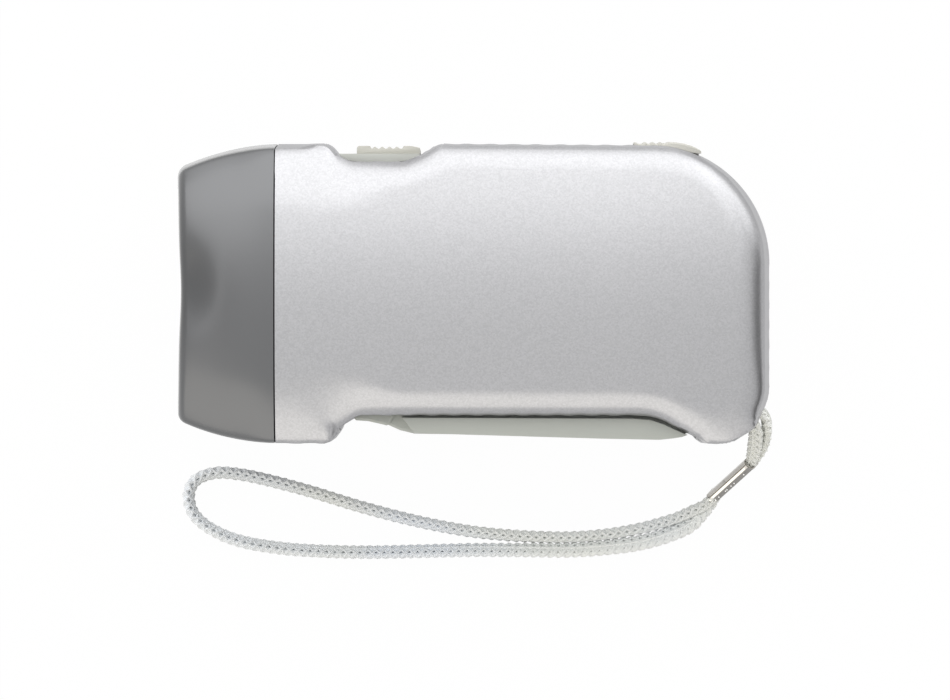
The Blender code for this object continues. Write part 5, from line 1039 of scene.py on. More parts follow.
def cavityCorners():
    # the body's corners moved in by its wall, without the two small steps in its edge
    plain = [c for i, c in enumerate(bodyLook["corners"]) if i not in (9, 13)]
    spots = [Vector(c[:2]) for c in plain]
    wall, inner = bodyLook["wall"], []
    sharpest, smallest, past = 0.5, 0.0003, 0.001
    for i, (x, y, radius) in enumerate(plain):
        before = (spots[i] - spots[i - 1]).normalized() if i else Vector((1, 0))
        after = (spots[i + 1] - spots[i]).normalized() if i < len(plain) - 1 else Vector((-1, 0))
        first, second = Vector((before.y, -before.x)), Vector((after.y, -after.x))
        across = (first + second).normalized()
        spot = spots[i] + across * (wall / max(across.dot(first), sharpest))
        bend = before.x * after.y - before.y * after.x
        inner.append((spot.x, spot.y, max(radius + (wall if bend > 0 else -wall), smallest)))
    front = bodyLook["joint"] - past
    inner[0] = (front, inner[0][1], 0)
    inner[-1] = (front, inner[-1][1], 0)
    return inner


def depthField(corners):
    # softened distance from an edge that runs on straight beyond the joint
    power, beyond, batch = 6, 0.1, 500
    step, softening = 0.0004, 0.0006
    factor = math.sqrt(math.pi) * math.gamma((power - 1) / 2) / math.gamma(power / 2)
    run = [(corners[0][0] - beyond, corners[0][1], 0)] + corners[1:-1]
    run.append((corners[-1][0] - beyond, corners[-1][1], 0))
    edge = roundedPath(run, step, math.radians(10))
    middles = (edge[1:] + edge[:-1]) / 2
    lengths = np.linalg.norm(np.diff(edge, axis=0), axis=1)

    def depth(points):
        found = np.empty(len(points))
        for start in range(0, len(points), batch):
            some = points[start:start + batch]
            gap = some[:, None, :] - middles[None]
            distance = np.sqrt((gap**2).sum(axis=2)) + 1e-9
            nearest = distance.min(axis=1)
            pull = (lengths * distance**-power).sum(axis=1)
            soft = (factor / pull) ** (1 / (power - 1))
            share = np.clip((nearest - step) / softening, 0, 1)
            found[start:start + batch] = nearest * (1 - share) + soft * share
        return found

    return depth


def bandPoints(edge, inset):
    # the nearest points on the flat band along the body's side
    half = bodyLook["bandHalf"] - inset
    end = bodyLook["bandEnd"] - bodyLook["bandHalf"]
    band = np.empty_like(edge)
    for i, (x, y) in enumerate(edge):
        if x <= end:
            band[i] = (x, half if y > 0 else -half)
        else:
            reach = math.hypot(x - end, y)
            band[i] = (end + half * (x - end) / reach, half * y / reach)
    return band


def straightened(row):
    # a point where the row turns back on itself closes up on the one before
    passes = 4
    for _ in range(passes):
        starts = [0] + [i for i in range(1, len(row)) if np.any(row[i] != row[i - 1])]
        for before, here, after in zip(starts, starts[1:], starts[2:]):
            if (row[here] - row[before]) @ (row[after] - row[here]) < 0:
                row[here:after] = row[before]
    return row


def halfBody(name, corners, side, look):
    # one half as a closed solid, from the split plane out to its crown
    edge = roundedPath(corners, look["step"], look["turn"])
    front = corners[0][0]
    if look["fine"]:
        lip = bodyLook["frontRound"]
        edge = np.vstack([edge[:1], [[front + lip, edge[0][1]]], edge[1:-1],
                          [[front + lip, edge[-1][1]]], edge[-1:]])
    band = bandPoints(edge, look["inset"])
    depth = depthField(corners)
    halvings, ahead, touching = 13, 10, 1e-7

    def rowAt(target):
        low, high = np.zeros(len(edge)), np.ones(len(edge))
        for _ in range(halvings):
            share = (low + high) / 2
            deep = depth(edge + (band - edge) * share[:, None]) > target
            high = np.where(deep, share, high)
            low = np.where(deep, low, share)
        row = edge + (band - edge) * ((low + high) / 2)[:, None]
        spread = row.copy()
        for i in range(1, len(row) - 2):  # points that crowd or turn back become one
            onward = spread[min(i + ahead, len(row) - 1)] - row[i - 1]
            if (row[i] - row[i - 1]) @ onward <= look["crowd"] * np.linalg.norm(onward):
                row[i] = row[i - 1]
        return straightened(row)

    rows = []
    if look["fine"]:
        seam = bodyLook["seamRound"]
        rows.append((rowAt(seam), look["start"]))
        rows.append((edge, look["start"] + seam))
    else:
        rows.append((edge, look["start"]))
        rows.append((edge, skinHeight(edge[:, 0], edge[:, 1], 0.0, look["inset"])))
    for target in look["depths"]:
        row = rowAt(target)
        rows.append((row, skinHeight(row[:, 0], row[:, 1], target, look["inset"])))
    last = rows[-1][0]
    last = last[np.r_[True, np.any(np.diff(last, axis=0) != 0, axis=1)]]
    grid = look["grid"]
    low, high = last.min(axis=0), last.max(axis=0)
    columns = np.arange(front + grid, high[0], grid)
    if look["fine"]:
        columns = np.r_[front + bodyLook["frontRound"], columns]
    ups = np.arange(low[1] + grid / 3, high[1], grid)
    inside = np.array([(x, y) for x in columns for y in ups])
    inside = inside[depth(inside) > look["depths"][-1] + grid / 3]
    closing = np.linspace(last[-1][1], last[0][1], 2 + int((last[0][1] - last[-1][1]) / grid))
    closing = np.array([(front, y) for y in closing[1:-1]])
    outline = np.vstack([last, closing])
    count = len(outline)
    points = [Vector(p) for p in np.vstack([outline, inside])]
    rim = [(i, (i + 1) % count) for i in range(count)]
    if look["fine"]:
        lipSpots = [i for i, p in enumerate(points) if abs(p.x - front - lip) < touching]
        lipSpots.sort(key=lambda i: points[i].y)
        rim += list(zip(lipSpots, lipSpots[1:]))
    found = delaunay_2d_cdt(points, rim, [], 1, 1e-8)
    flat = np.array([tuple(v) for v in found[0]])
    heights = skinHeight(flat[:, 0], flat[:, 1], np.maximum(depth(flat), look["depths"][-1]),
                         look["inset"])
    work = bmesh.new()

    def place(x, y, z):
        if look["fine"] and abs(x - front) < touching:
            shrink = 1 - bodyLook["frontRound"] / bodyLook["halfWidth"]
            y, z = y * shrink, z * shrink if z > 0.001 else z
        return work.verts.new((x, y, bodyLook["middle"] + side * z))

    table = []
    for row, height in rows:
        heightList = np.broadcast_to(height, len(row))
        table.append([place(x, y, z) for (x, y), z in zip(row, heightList)])
    bridge(work, table, False)
    crown = [place(x, y, z) for (x, y), z in zip(flat, heights)]
    for face in found[2]:
        work.faces.new([crown[i] for i in face])
    splitQuads(work)
    work.faces.new(table[0])
    capLine = sorted(
        (v for v in crown if abs(v.co.x - front) < touching), key=lambda v: -v.co.y
    )
    work.faces.new(
        [line[0] for line in table] + capLine[1:-1] + [line[-1] for line in reversed(table)]
    )
    return meshFrom(work, name, 30)


screwPlaces = [(-0.0275, 0.0202), (-0.0289, -0.0200), (0.0425, 0.0135), (0.0480, -0.0126)]
pivot = (-0.0153, -0.0192)
screwSeat = 0.0063
shellLook = {
    "outer": {"step": 0.0009, "turn": math.radians(2), "depths": outerDepths, "grid": 0.0014,
              "inset": 0.0, "start": 0.00015, "fine": True, "crowd": 0.00008},
    "inner": {"step": 0.004, "turn": math.radians(15), "depths": [0.0007, 0.0020, 0.0045],
              "grid": 0.005, "inset": bodyLook["wall"], "start": -0.001, "fine": False,
              "crowd": 0.0},
    "outside": 0.021,  # beyond the crown, from the middle
    "postRadius": {"upper": 0.0026, "lower": 0.0034},
    "postStart": 0.002,
    "bossRadius": 0.0024,
    "bossStart": 0.01255,
    "channel": ((-0.023, -0.0278, 0.0076), (0.0400, -0.0196, 0.0324)),
    "switchSlot": ((-0.01955, 0.0180, 0.0181), (-0.0142, 0.030, 0.0219)),
    "lockSlot": ((0.0324, 0.0220, 0.0183), (0.0386, 0.030, 0.0217)),
    "strapSlot": (0.0136, 0.021),
    "recessRadius": 0.0026,
}
strapLook = {  # the slot for the eye loop
    "angle": -36.87,  # its way out
    "anchor": (0.0504, -0.02285),
    "back": 0.0032,
    "reach": (0.0004, 0.0070),
    "half": 0.0029,
}


def makeShell(which):
    look = shellLook
    side = 1 if which == "upper" else -1
    middle = bodyLook["middle"]
    name = which + "_body"
    shell = addPiece(name, halfBody(name, bodyLook["corners"], side, look["outer"]), "silver")
    hollow = addPiece(
        name + "_hollow", halfBody(name, cavityCorners(), side, look["inner"]), "silver"
    )
    outside = middle + side * look["outside"]
    for place in screwPlaces:
        post = barTool(name + "_post", place, look["postRadius"][which],
                       middle - side * look["postStart"], outside)
        carve(hollow, post)
    bossStart = middle + side * look["bossStart"]
    carve(hollow, barTool(name + "_boss", pivot, look["bossRadius"], bossStart, outside))
    settle(hollow)
    carve(shell, hollow)
    carve(shell, boxTool(name + "_channel", *look["channel"]))
    carve(shell, boxTool(name + "_switch", *look["switchSlot"]))
    carve(shell, boxTool(name + "_lock", *look["lockSlot"]))
    if which == "lower":
        carve(shell, slab(name + "_strap", strapSlot(strapLook), *look["strapSlot"]))
        for place in screwPlaces:
            carve(shell, barTool(name + "_recess", place, look["recessRadius"], -0.001, screwSeat))
    settleCuts(shell, 30)
    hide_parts(which + "_shell")
    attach(shell, "housing")
    print(name, "made:", len(shell.data.polygons), "faces")


def strapSlot(look):
    angle = math.radians(look["angle"])
    outward = Vector((math.cos(angle), math.sin(angle)))
    along = Vector((-outward.y, outward.x))
    anchor = Vector(look["anchor"]) - outward * look["back"]
    near, far = look["reach"]
    return [tuple(anchor + outward * out + along * sideways * look["half"])
            for out, sideways in ((near, -1), (far, -1), (far, 1), (near, 1))]


for which in ("lower", "upper"):
    makeShell(which)


# Head: bezel, lens and reflector
headLook = {
    "front": -0.0526,
    "length": 0.01775,
    "top": 0.02644,
    "bottom": 0.0267,
    "topTaper": 0.0042,
    "bottomTaper": 0.0039,
    "sideTaper": 0.0030,
    "taperPower": 1.85,
    "edge": 0.0012,
    "rim": 0.0036,
    "lip": 0.0018,
    "wall": 0.0020,
    "seat": 0.001,  # how deep the lens sits in the rim
    "throat": 0.003,
    "rimEdge": (0.0003, 0.0002),
    "backEdge": 0.00005,
    "steps": 24,
    "edgeSteps": 5,
    "bow": 0.00085,  # how far the rim's sides lie behind its middle
    "bowHalf": 0.015,
    "bowMost": 0.0014,
    "dip": 0.0004,
    "dipHalf": 0.007,
    "gap": 0.00016,
    "crown": 0.0016,  # how much rounder its sides are than the body's
    "crownLength": 0.008,
    "scoop": 0.0014,
    "scoopLength": 0.0095,
    "scoopHalf": 0.0065,
    "scoopHeight": 0.0009,
    "steepRun": (0.009, 0.004),  # from the middle, where the sides start to have both
    "sectionStep": 0.0014,
}
tongueLook = {  # the two tongues that snap into the body
    "root": 0.004,
    "reach": 0.0038,
    "overlap": 0.001,
    "thickness": 0.0014,
    "play": 0.0003,
    "sides": (0.0155, 0.0245),
}


def headSection():
    # the section where head meets body, as a loop of (y, z from the middle)
    depths = [0.0] + outerDepths
    joint = bodyLook["joint"]
    near = []
    top, bottom = headLook["top"], headLook["bottom"]
    for d in depths:
        near.append((top - d, float(skinHeight(joint, top - d, d))))
    start, end = top - depths[-1], depths[-1] - bottom
    count = int((start - end) / headLook["sectionStep"])
    for k in range(1, count):
        y = start + (end - start) * k / count
        near.append((y, float(skinHeight(joint, y, min(top - y, y + bottom)))))
    for d in reversed(depths):
        near.append((d - bottom, float(skinHeight(joint, d - bottom, d))))
    return near + [(y, -z) for y, z in near[-2:0:-1]]


section = headSection()


def headRing(x, inset, scooped=True):
    look, joint, half = headLook, bodyLook["joint"], bodyLook["halfWidth"]
    share = max((joint - x) / look["length"], 0) ** look["taperPower"]
    top = (look["top"] - look["topTaper"] * share - inset) / look["top"]
    bottom = (look["bottom"] - look["bottomTaper"] * share - inset) / look["bottom"]
    width = (half - look["sideTaper"] * share - inset) / half
    scoopEnd = look["front"] + look["scoopLength"]
    reach = float(ramp(-x, -scoopEnd, look["scoopLength"]))
    swell = look["crown"] * float(ramp(-x, -joint, look["crownLength"]))
    points = []
    for y, z in section:
        high = y * (top if y > 0 else bottom)
        fall = math.exp(-(((high - look["scoopHeight"]) / look["scoopHalf"]) ** 2))
        out = z * width
        if scooped:
            steep = float(ramp(abs(z), *look["steepRun"]))
            drop = look["scoop"] * reach * fall + swell * (high / look["top"]) ** 4
            out -= math.copysign(drop * steep, z)
        points.append((x, high, bodyLook["middle"] + out))
    return points


def bowed(points, share=1.0):
    # the rim's sides bend back, and its middle has a shallow dip
    moved = []
    for x, y, z in points:
        back = headLook["bow"] * ((z - bodyLook["middle"]) / headLook["bowHalf"]) ** 2
        dip = headLook["dip"] * math.exp(-((y / headLook["dipHalf"]) ** 2))
        moved.append((x + (min(back, headLook["bowMost"]) + dip) * share, y, z))
    return moved


def tongue(top, sign, back):
    look = tongueLook
    inner = top - bodyLook["wall"] - look["play"]
    root, reach = back - look["root"], back + look["reach"]
    high, low = top - look["overlap"], inner - look["thickness"]
    outline = [(root, sign * high), (root, sign * low), (reach, sign * low),
               (reach, sign * inner), (back - look["play"], sign * inner),
               (back - look["play"], sign * high)]
    return slab("tongue", outline, *look["sides"])


def makeBezel():
    look, joint = headLook, bodyLook["joint"]
    front, edge, rim, backEdge = look["front"], look["edge"], look["rim"], look["backEdge"]
    back = joint - look["gap"]
    rings = [headRing(back, backEdge)]
    stretch = back - backEdge - (front + edge)
    for k in range(look["steps"] + 1):
        share = k / look["steps"]
        rings.append(bowed(headRing(back - backEdge - stretch * share, 0), share**4))
    for k in range(1, look["edgeSteps"] + 1):
        angle = math.pi / 2 * k / look["edgeSteps"]
        x = front + edge * (1 - math.sin(angle))
        inset = edge * (1 - math.cos(angle))
        rings.append(bowed(headRing(x, inset)))
    inwards, backwards = look["rimEdge"]
    rings.append(bowed(headRing(front, rim - inwards, False)))
    rings.append(bowed(headRing(front + backwards, rim, False)))
    lip = front + look["lip"]
    rings.append(headRing(lip, rim, False))
    rings.append(headRing(lip, rim - look["seat"], False))
    rings.append(headRing(joint - look["length"] / 2, look["throat"], False))
    rings.append(headRing(back, look["wall"], False))
    bezel = addPiece("head_bezel", loftMesh("head_bezel", rings, True, 40), "smoke")
    for top, sign in ((look["top"], 1), (look["bottom"], -1)):
        carve(bezel, tongue(top, sign, back), "UNION")
    settleCuts(bezel, 40)
    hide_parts("bezel")
    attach(bezel, "housing")


lensLook = {
    "play": 0.0003,
    "thickness": 0.0015,
    "dome": 0.0003,
    "rings": (0.02, 0.25, 0.5, 0.75, 0.92, 1.0),
}


def shrunk(points, share, lift):
    # a ring drawn in towards the head's axis
    return [(x + lift, y * share, bodyLook["middle"] + (z - bodyLook["middle"]) * share)
            for x, y, z in points]


def makeLens():
    look = lensLook
    front = headLook["front"] + headLook["lip"] + look["play"]
    back = front + look["thickness"]
    seat = headLook["rim"] - headLook["seat"] + look["play"]
    rim = headRing(front + look["dome"], seat, False)
    rings = [shrunk(rim, s, -look["dome"] * (1 - s**2)) for s in look["rings"]]
    rings.append(headRing(back, seat, False))
    lens = addPiece("head_lens", loftMesh("head_lens", rings, False, 50), "lens")
    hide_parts("lens")
    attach(lens, "housing")


reflectorLook = {
    "depth": 0.0081,
    "inset": 0.0009,
    "flange": 0.0015,
    "waist": 0.0022,
    "backHalf": (0.015, 0.012),  # half its height and half its width at the back
    "cupCircle": 0.0068,  # the cups stand on it round the head's axis
    "cupDepth": 0.0068,
    "cupBottom": 0.0028,
    "cupTop": 0.0062,
    "cupMouth": 0.0064,
    "cupSteps": 14,
    "cupSlope": 0.00001,
    "past": 0.001,  # how far each cutter goes past the surface
    "screwPlace": (0.004, 0.0093),
    "screwDepth": 0.004,
    "screwRadius": 0.001,
}
ledPlaces = []
for k in range(3):
    angle = math.pi / 2 + math.tau * k / 3
    ledPlaces.append((reflectorLook["cupCircle"] * math.sin(angle),
                      bodyLook["middle"] + reflectorLook["cupCircle"] * math.cos(angle)))
reflectorFront = headLook["front"] + headLook["lip"] + lensLook["play"]
reflectorFront = reflectorFront + lensLook["thickness"] + lensLook["play"]
reflectorBack = reflectorFront + reflectorLook["depth"]


def makeReflector():
    look, middle = reflectorLook, bodyLook["middle"]
    front, back, past = reflectorFront, reflectorBack, reflectorLook["past"]
    inset = headLook["rim"] - headLook["seat"] + look["inset"]
    flange = front + look["flange"]
    waist = headRing(flange, inset + look["waist"], False)
    high = max(p[1] for p in waist)
    wide = max(p[2] for p in waist) - middle
    tall, broad = look["backHalf"]
    tail = [(back, y * tall / high, middle + (z - middle) * broad / wide) for x, y, z in waist]
    rings = [headRing(front, inset, False), headRing(flange, inset, False), waist, tail]
    reflector = addPiece("head_reflector", loftMesh("head_reflector", rings), "mirror")
    profile = [(back + past, look["cupBottom"])]
    for k in range(look["cupSteps"] + 1):
        share = k / look["cupSteps"]
        radius = look["cupBottom"] + (look["cupTop"] - look["cupBottom"]) * math.sqrt(share)
        profile.append((front + look["cupDepth"] * (1 - share) - look["cupSlope"] * k, radius))
    profile.append((front - past, look["cupMouth"]))
    for y, z in ledPlaces:
        loops = [ring((x, y, z), r, 56, "X") for x, r in profile]
        carve(reflector, addPiece("cup", loftMesh("cup", loops, False, 50), "mirror"))
    y, away = look["screwPlace"]
    for side in (-1, 1):
        loops = [ring((x, y, middle + side * away), look["screwRadius"], 20, "X")
                 for x in (back - look["screwDepth"], back + past)]
        carve(reflector, addPiece("hole", loftMesh("hole", loops), "mirror"))
    settleCuts(reflector, 40)
    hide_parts("reflector")
    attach(reflector, "housing")


ledLook = {
    "behind": 0.0003 + 0.0009,  # the board's face, from the reflector's back
    "radius": 0.0025,
    "domeFoot": 0.0053,
    "domeSteps": 9,
    "tip": 0.00002,
    # heights and radii of the flange and of the cup that holds the die
    "flange": [(0.0009, 0.0025), (0.00085, 0.0029), (0.0001, 0.0029), (0.0, 0.00275)],
    "cup": [(0.0036, 0.0008), (0.0040, 0.0010), (0.0043, 0.0010), (0.0041, 0.0006),
            (0.0041, 0.00002)],
}


def makeLeds():
    look = ledLook
    base = reflectorBack + look["behind"]
    radius, dome = look["radius"], []
    for k in range(look["domeSteps"] + 1):
        angle = math.pi / 2 * k / look["domeSteps"]
        dome.append((look["domeFoot"] + radius * math.cos(angle),
                     max(radius * math.sin(angle), look["tip"])))
    for number, (y, z) in enumerate(ledPlaces, 1):
        loops = [ring((base - h, y, z), r, 36, "X") for h, r in dome + look["flange"]]
        name = f"lamp_{number}"
        lamp = addPiece(name, loftMesh(name, loops, False, 40), "resin")
        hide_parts(f"led_{number}")
        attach(lamp, "housing")
        loops = [ring((base - h, y, z), r, 24, "X") for h, r in look["cup"]]
        die = addPiece(f"lamp_die_{number}", loftMesh("die", loops, False, 40), "phosphor")
        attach(die, "housing")


makeBezel()
makeLens()
makeReflector()
makeLeds()
print("head made")


# Switch: ridged knob and the trim plate under it
knobLook = {
    "front": -0.0208, "rear": -0.0095, "base": 0.02456, "top": 0.02598, "valley": 0.02550,
    "peak": 0.02584, "ridgeStart": -0.01758, "ridgePitch": 0.0013, "ridges": 4,
    "ridgeHalf": 0.00060, "frontPad": 0.0023, "rearPad": 0.0029, "halfWidth": 0.0040,
    "bevel": 0.00022, "rim": 0.0004,
    # the rear end from its foot up, as (in from the rear, below the top)
    "rearEdge": [(0, 0.0007), (0.0001, 0.00036), (0.0006, 0.00022), (0.0015, 0.00004),
                 (0.0020, 0)],
    "frontRound": 0.0005, "frontSteps": 6, "topSteps": 72,
    "stem": ((-0.0162, 0.02244, 0.0184), (-0.0138, 0.0254, 0.0216)),
}
plateLook = {
    "outline": [(-0.0240, 0.02450), (-0.0240, 0.02424), (-0.0222, 0.02343), (-0.0206, 0.02312),
                (-0.0143, 0.02312), (-0.0120, 0.02337), (-0.0096, 0.02424), (-0.0096, 0.02450)],
    "reaches": (-0.0065, -0.0035, 0.0, 0.0035, 0.0065),
    "drop": 0.022,  # of its lower face, for each metre away from the middle
    "dropBelow": 0.0244,
    "bevel": 0.00010,
    "slot": ((-0.01955, 0.0180, 0.0181), (-0.0132, 0.030, 0.0219)),
}


def ridgeWave(x, ridges, half, power):
    # 1 on the top of a ridge and 0 away from them
    near = min(abs(x - r) for r in ridges)
    return math.cos(min(near / half, 1) * math.pi / 2) ** power


def ridgedTop(look):
    # the top line of a slide, from its rear pad over rounded ridges to its front pad
    top, valley, rear = look["top"], look["valley"], look["rear"]
    points = [(rear - inwards, top - down) for inwards, down in look["rearEdge"]]
    start, end = look["front"] + look["frontPad"], rear - look["rearPad"]
    ridges = [look["ridgeStart"] + look["ridgePitch"] * n for n in range(look["ridges"])]
    for k in range(look["topSteps"] + 1):
        x = end + (start - end) * k / look["topSteps"]
        height = valley + (look["peak"] - valley) * ridgeWave(x, ridges, look["ridgeHalf"], 2)
        rim = min(abs(x - start), abs(x - end)) / look["rim"]
        if rim < 1:
            height = max(height, valley + (top - valley) * (1 + math.cos(math.pi * rim)) / 2)
        points.append((x, height))
    for k in range(look["frontSteps"], -1, -1):
        angle = math.pi / 2 * k / look["frontSteps"]
        points.append((look["front"] + look["frontRound"] * (1 - math.cos(angle)),
                       top - look["frontRound"] * (1 - math.sin(angle))))
    return points


def makeSwitch():
    look, middle = knobLook, bodyLook["middle"]
    points = [(look["front"], look["base"]), (look["rear"], look["base"])] + ridgedTop(look)
    low, high = middle - look["halfWidth"], middle + look["halfWidth"]
    knob = slab("light_switch", points, low, high, "knob")
    bevelled(knob, look["bevel"], 3, 60)
    settle(knob, 32)
    carve(knob, boxTool("stem", *look["stem"]), "UNION")
    settleCuts(knob, 32)
    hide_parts("switch_knob")
    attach(knob, "light_switch")
    look = plateLook
    sections = []
    for reach in look["reaches"]:
        drop = look["drop"] * abs(reach)
        sections.append([(x, y - (drop if y < look["dropBelow"] else 0), middle + reach)
                         for x, y in look["outline"]])
    plate = addPiece("switch_trim", loftMesh("switch_trim", sections), "trim")
    bevelled(plate, look["bevel"], 2, 50)
    settle(plate, 32)
    carve(plate, boxTool("slot", *look["slot"]))
    settleCuts(plate, 32)
    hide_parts("switch_plate")
    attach(plate, "housing")


makeSwitch()


# Lever lock: ridges and a curved tail pad
lockLook = {
    "front": 0.0284, "base": 0.02628, "top": 0.0268,
    "valley": 0.02650, "halfWidth": 0.0050, "bevel": 0.00010, "crown": 0.0004,
    "ridges": (0.02862, 0.03036, 0.03172, 0.03304), "ridgeHalf": 0.00050,
    "ridgesEnd": 0.03385, "ridgeSteps": 60, "sideSteps": 4,
    "pad": [  # behind the ridges: its underside and back over its top
        (0.0325, 0.02628), (0.0342, 0.02612), (0.0365, 0.02570), (0.0388, 0.02510),
        (0.0403, 0.02492), (0.0403, 0.02530), (0.0395, 0.02580), (0.0385, 0.02620),
        (0.0372, 0.02655), (0.0360, 0.02673), (0.0350, 0.02680), (0.0345, 0.02680),
        (0.0341, 0.02668),
    ],
    "stem": ((0.0330, 0.0233, 0.0186), (0.0354, 0.02655, 0.0214)),
}


def makeLock():
    look = lockLook
    points = [(look["front"], look["base"])] + look["pad"]
    for k in range(look["ridgeSteps"] + 1):
        x = look["ridgesEnd"] + (look["front"] - look["ridgesEnd"]) * k / look["ridgeSteps"]
        wave = ridgeWave(x, look["ridges"], look["ridgeHalf"], 0.8)
        points.append((x, look["valley"] + (look["top"] - look["valley"]) * wave))
    sections = []
    for k in range(-look["sideSteps"], look["sideSteps"] + 1):
        share = k / look["sideSteps"]
        z = bodyLook["middle"] + look["halfWidth"] * share
        sections.append([(x, y - look["crown"] * share**2, z) for x, y in points])
    lock = addPiece("lever_lock", loftMesh("lever_lock", sections), "knob")
    bevelled(lock, look["bevel"], 2, 60)
    settle(lock, 32)
    carve(lock, boxTool("stem", *look["stem"]), "UNION")
    settleCuts(lock, 32)
    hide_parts("lock_button")
    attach(lock, "lever_lock")


makeLock()


# Lever
leverLook = {
    "nose": [(-0.0212, -0.0214), (-0.0212, -0.02262), (-0.0186, -0.02280), (-0.0157, -0.02346),
             (-0.0150, -0.0237), (-0.0137, -0.0214), (-0.0127, -0.0196)],
    "cheek": [(-0.0196, -0.0213), (-0.0190, -0.0224), (-0.0157, -0.0232), (-0.0130, -0.0244),
              (-0.0105, -0.0250)],
    "grip": [(-0.01035, -0.0249), (0.0225, -0.02585), (0.0326, -0.02605), (0.0351, -0.02580),
             (0.0366, -0.02555), (0.0376, -0.0252)],
    "core": [(0.0390, -0.0226), (0.0390, -0.0198)],  # its tail end
    "wingFront": [(-0.0127, -0.02215), (-0.0104, -0.02488)],
    "wingBack": [(0.0373, -0.02512), (0.0352, -0.0242), (0.0333, -0.0233), (0.0310, -0.02255),
                 (0.0280, -0.0223)],
    "noseHalf": 0.0120, "bodyHalf": 0.0114, "gripHalf": 0.0136, "chamfer": 0.00043,
    "wingRound": 0.0004, "skin": 0.0016, "wall": 0.0011, "coreLift": 0.0003,
    "bossRadius": 0.0033, "bossSteps": 16, "noseInset": 0.0001,
    "boreRadius": 0.00155, "bore": (0.007, 0.033), "hollowTop": -0.015,
    "hollowFront": -0.0209, "hollowEnd": 0.0402,
    "ledge": (0.0380, -0.0210, 0.0389, -0.0199), "ledgeHalf": 0.0111,
}


def makeLever():
    look = leverLook
    grip, middle = look["grip"], bodyLook["middle"]

    def plate(name, outline, half, width, segments):
        made = slab(name, outline, middle - half, middle + half, "lever")
        bevelled(made, width, segments, 40)
        return settle(made, 32)

    def boss(radius):
        angles = [math.pi * k / look["bossSteps"] for k in range(look["bossSteps"] + 1)]
        return [(pivot[0] + radius * math.cos(a), pivot[1] + radius * math.sin(a)) for a in angles]

    core = boss(look["bossRadius"]) + look["cheek"]
    core += [(x, y + look["coreLift"]) for x, y in grip[1:]] + look["core"]
    lever = plate("squeeze_lever", core, look["bodyHalf"], look["chamfer"], 1)
    nose = boss(look["bossRadius"] - look["noseInset"]) + look["nose"]
    carve(lever, plate("nose", nose, look["noseHalf"], look["chamfer"], 1), "UNION")
    wing = look["wingFront"] + grip[1:] + look["wingBack"]
    carve(lever, plate("wing", wing, look["gripHalf"], look["wingRound"], 3), "UNION")
    settle(lever, 32)
    skin, front, top = look["skin"], pivot[0] - look["bossRadius"], look["hollowTop"]
    hollow = [(front, top), (front, look["hollowFront"])] + [(x, y + skin) for x, y in grip[:3]]
    hollow += [(look["hollowEnd"], grip[4][1] + skin), (look["hollowEnd"], top)]
    inner = look["bodyHalf"] - look["wall"]
    carve(lever, slab("hollow", hollow, middle - inner, middle + inner))
    left, low, right, high = look["ledge"]
    half = look["ledgeHalf"]
    ledge = boxTool("ledge", (left, low, middle - half), (right, high, middle + half))
    carve(lever, ledge, "UNION")
    carve(lever, barTool("bore", pivot, look["boreRadius"], *look["bore"], 32))
    settleCuts(lever, 32)
    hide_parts("lever")
    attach(lever, "squeeze_lever")
    print("lever made:", len(lever.data.polygons), "faces")


makeLever()


# Screws in the far side's recesses, made once and set at each place
screwLook = {
    "Head radius": 0.0023,
    "Head height": 0.0018,
    "Shank radius": 0.0012,
    "Shank length": 0.0245,
    "Slot width": 0.0006,
}
screwForm = {
    "sides": 28,
    "rimShare": 0.6,  # of the head's height, and the rest is its slightly narrower top
    "topShare": 0.4,
    "topWidth": 0.98,
    "slotLength": 1.15,  # of the radius
    "sunk": 0.0003,  # under the recess's floor
}


def screwTree(look):
    tree, graph, given = startTree("screws", screwLook)
    radius, height = given.out("Head radius"), given.out("Head height")

    def disc(wide, tall, low):
        inputs = {"Vertices": look["sides"], "Side Segments": 1, "Radius Top": wide,
                  "Radius Bottom": wide, "Depth": tall}
        cone = graph.add("GeometryNodeMeshCone", {}, inputs)
        move = graph.vector(z=low)
        return graph.add("GeometryNodeTransform", {}, {"Geometry": cone, "Translation": move})

    head = disc(radius, height * look["rimShare"], height * look["topShare"])
    top = disc(radius * look["topWidth"], height * look["topShare"], 0.0)
    shank = disc(given.out("Shank radius"), given.out("Shank length"), height)
    parts = graph.add("GeometryNodeJoinGeometry", {}, {0: [head, top, shank]})
    slots = []
    for turn in (0.0, math.pi / 2):
        size = graph.vector(radius * look["slotLength"], given.out("Slot width"), height)
        cube = graph.add("GeometryNodeMeshCube", {}, {"Size": size})
        slots.append(graph.add(
            "GeometryNodeTransform", {}, {"Geometry": cube, "Rotation": (0.0, 0.0, turn)}
        ))
    cut = graph.add(
        "GeometryNodeMeshBoolean", {"operation": "DIFFERENCE", "solver": "EXACT"},
        {"Mesh 1": parts, "Mesh 2": slots},
    )
    placed = graph.add(
        "GeometryNodeInstanceOnPoints", {}, {"Points": given.out("Geometry"), "Instance": cut}
    )
    endTree(graph, given, placed)
    return tree


def makeScrews():
    base = screwSeat - screwForm["sunk"] - screwLook["Head height"]
    mesh = bpy.data.meshes.new("body_screws")
    mesh.from_pydata([(x, y, base) for x, y in screwPlaces], [], [])
    screws = runTree(
        addObject("body_screws", mesh), screwTree(screwForm),
        dict(screwLook, Material=finishes["steel"]),
    )
    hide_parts(*[f"body_screw_{k}" for k in range(1, 5)])
    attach(screws, "housing")
    print("screws made:", len(screws.data.polygons), "faces")


makeScrews()


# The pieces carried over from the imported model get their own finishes
def numbered(name, count):
    return [f"{name}_{k}" for k in range(1, count + 1)]


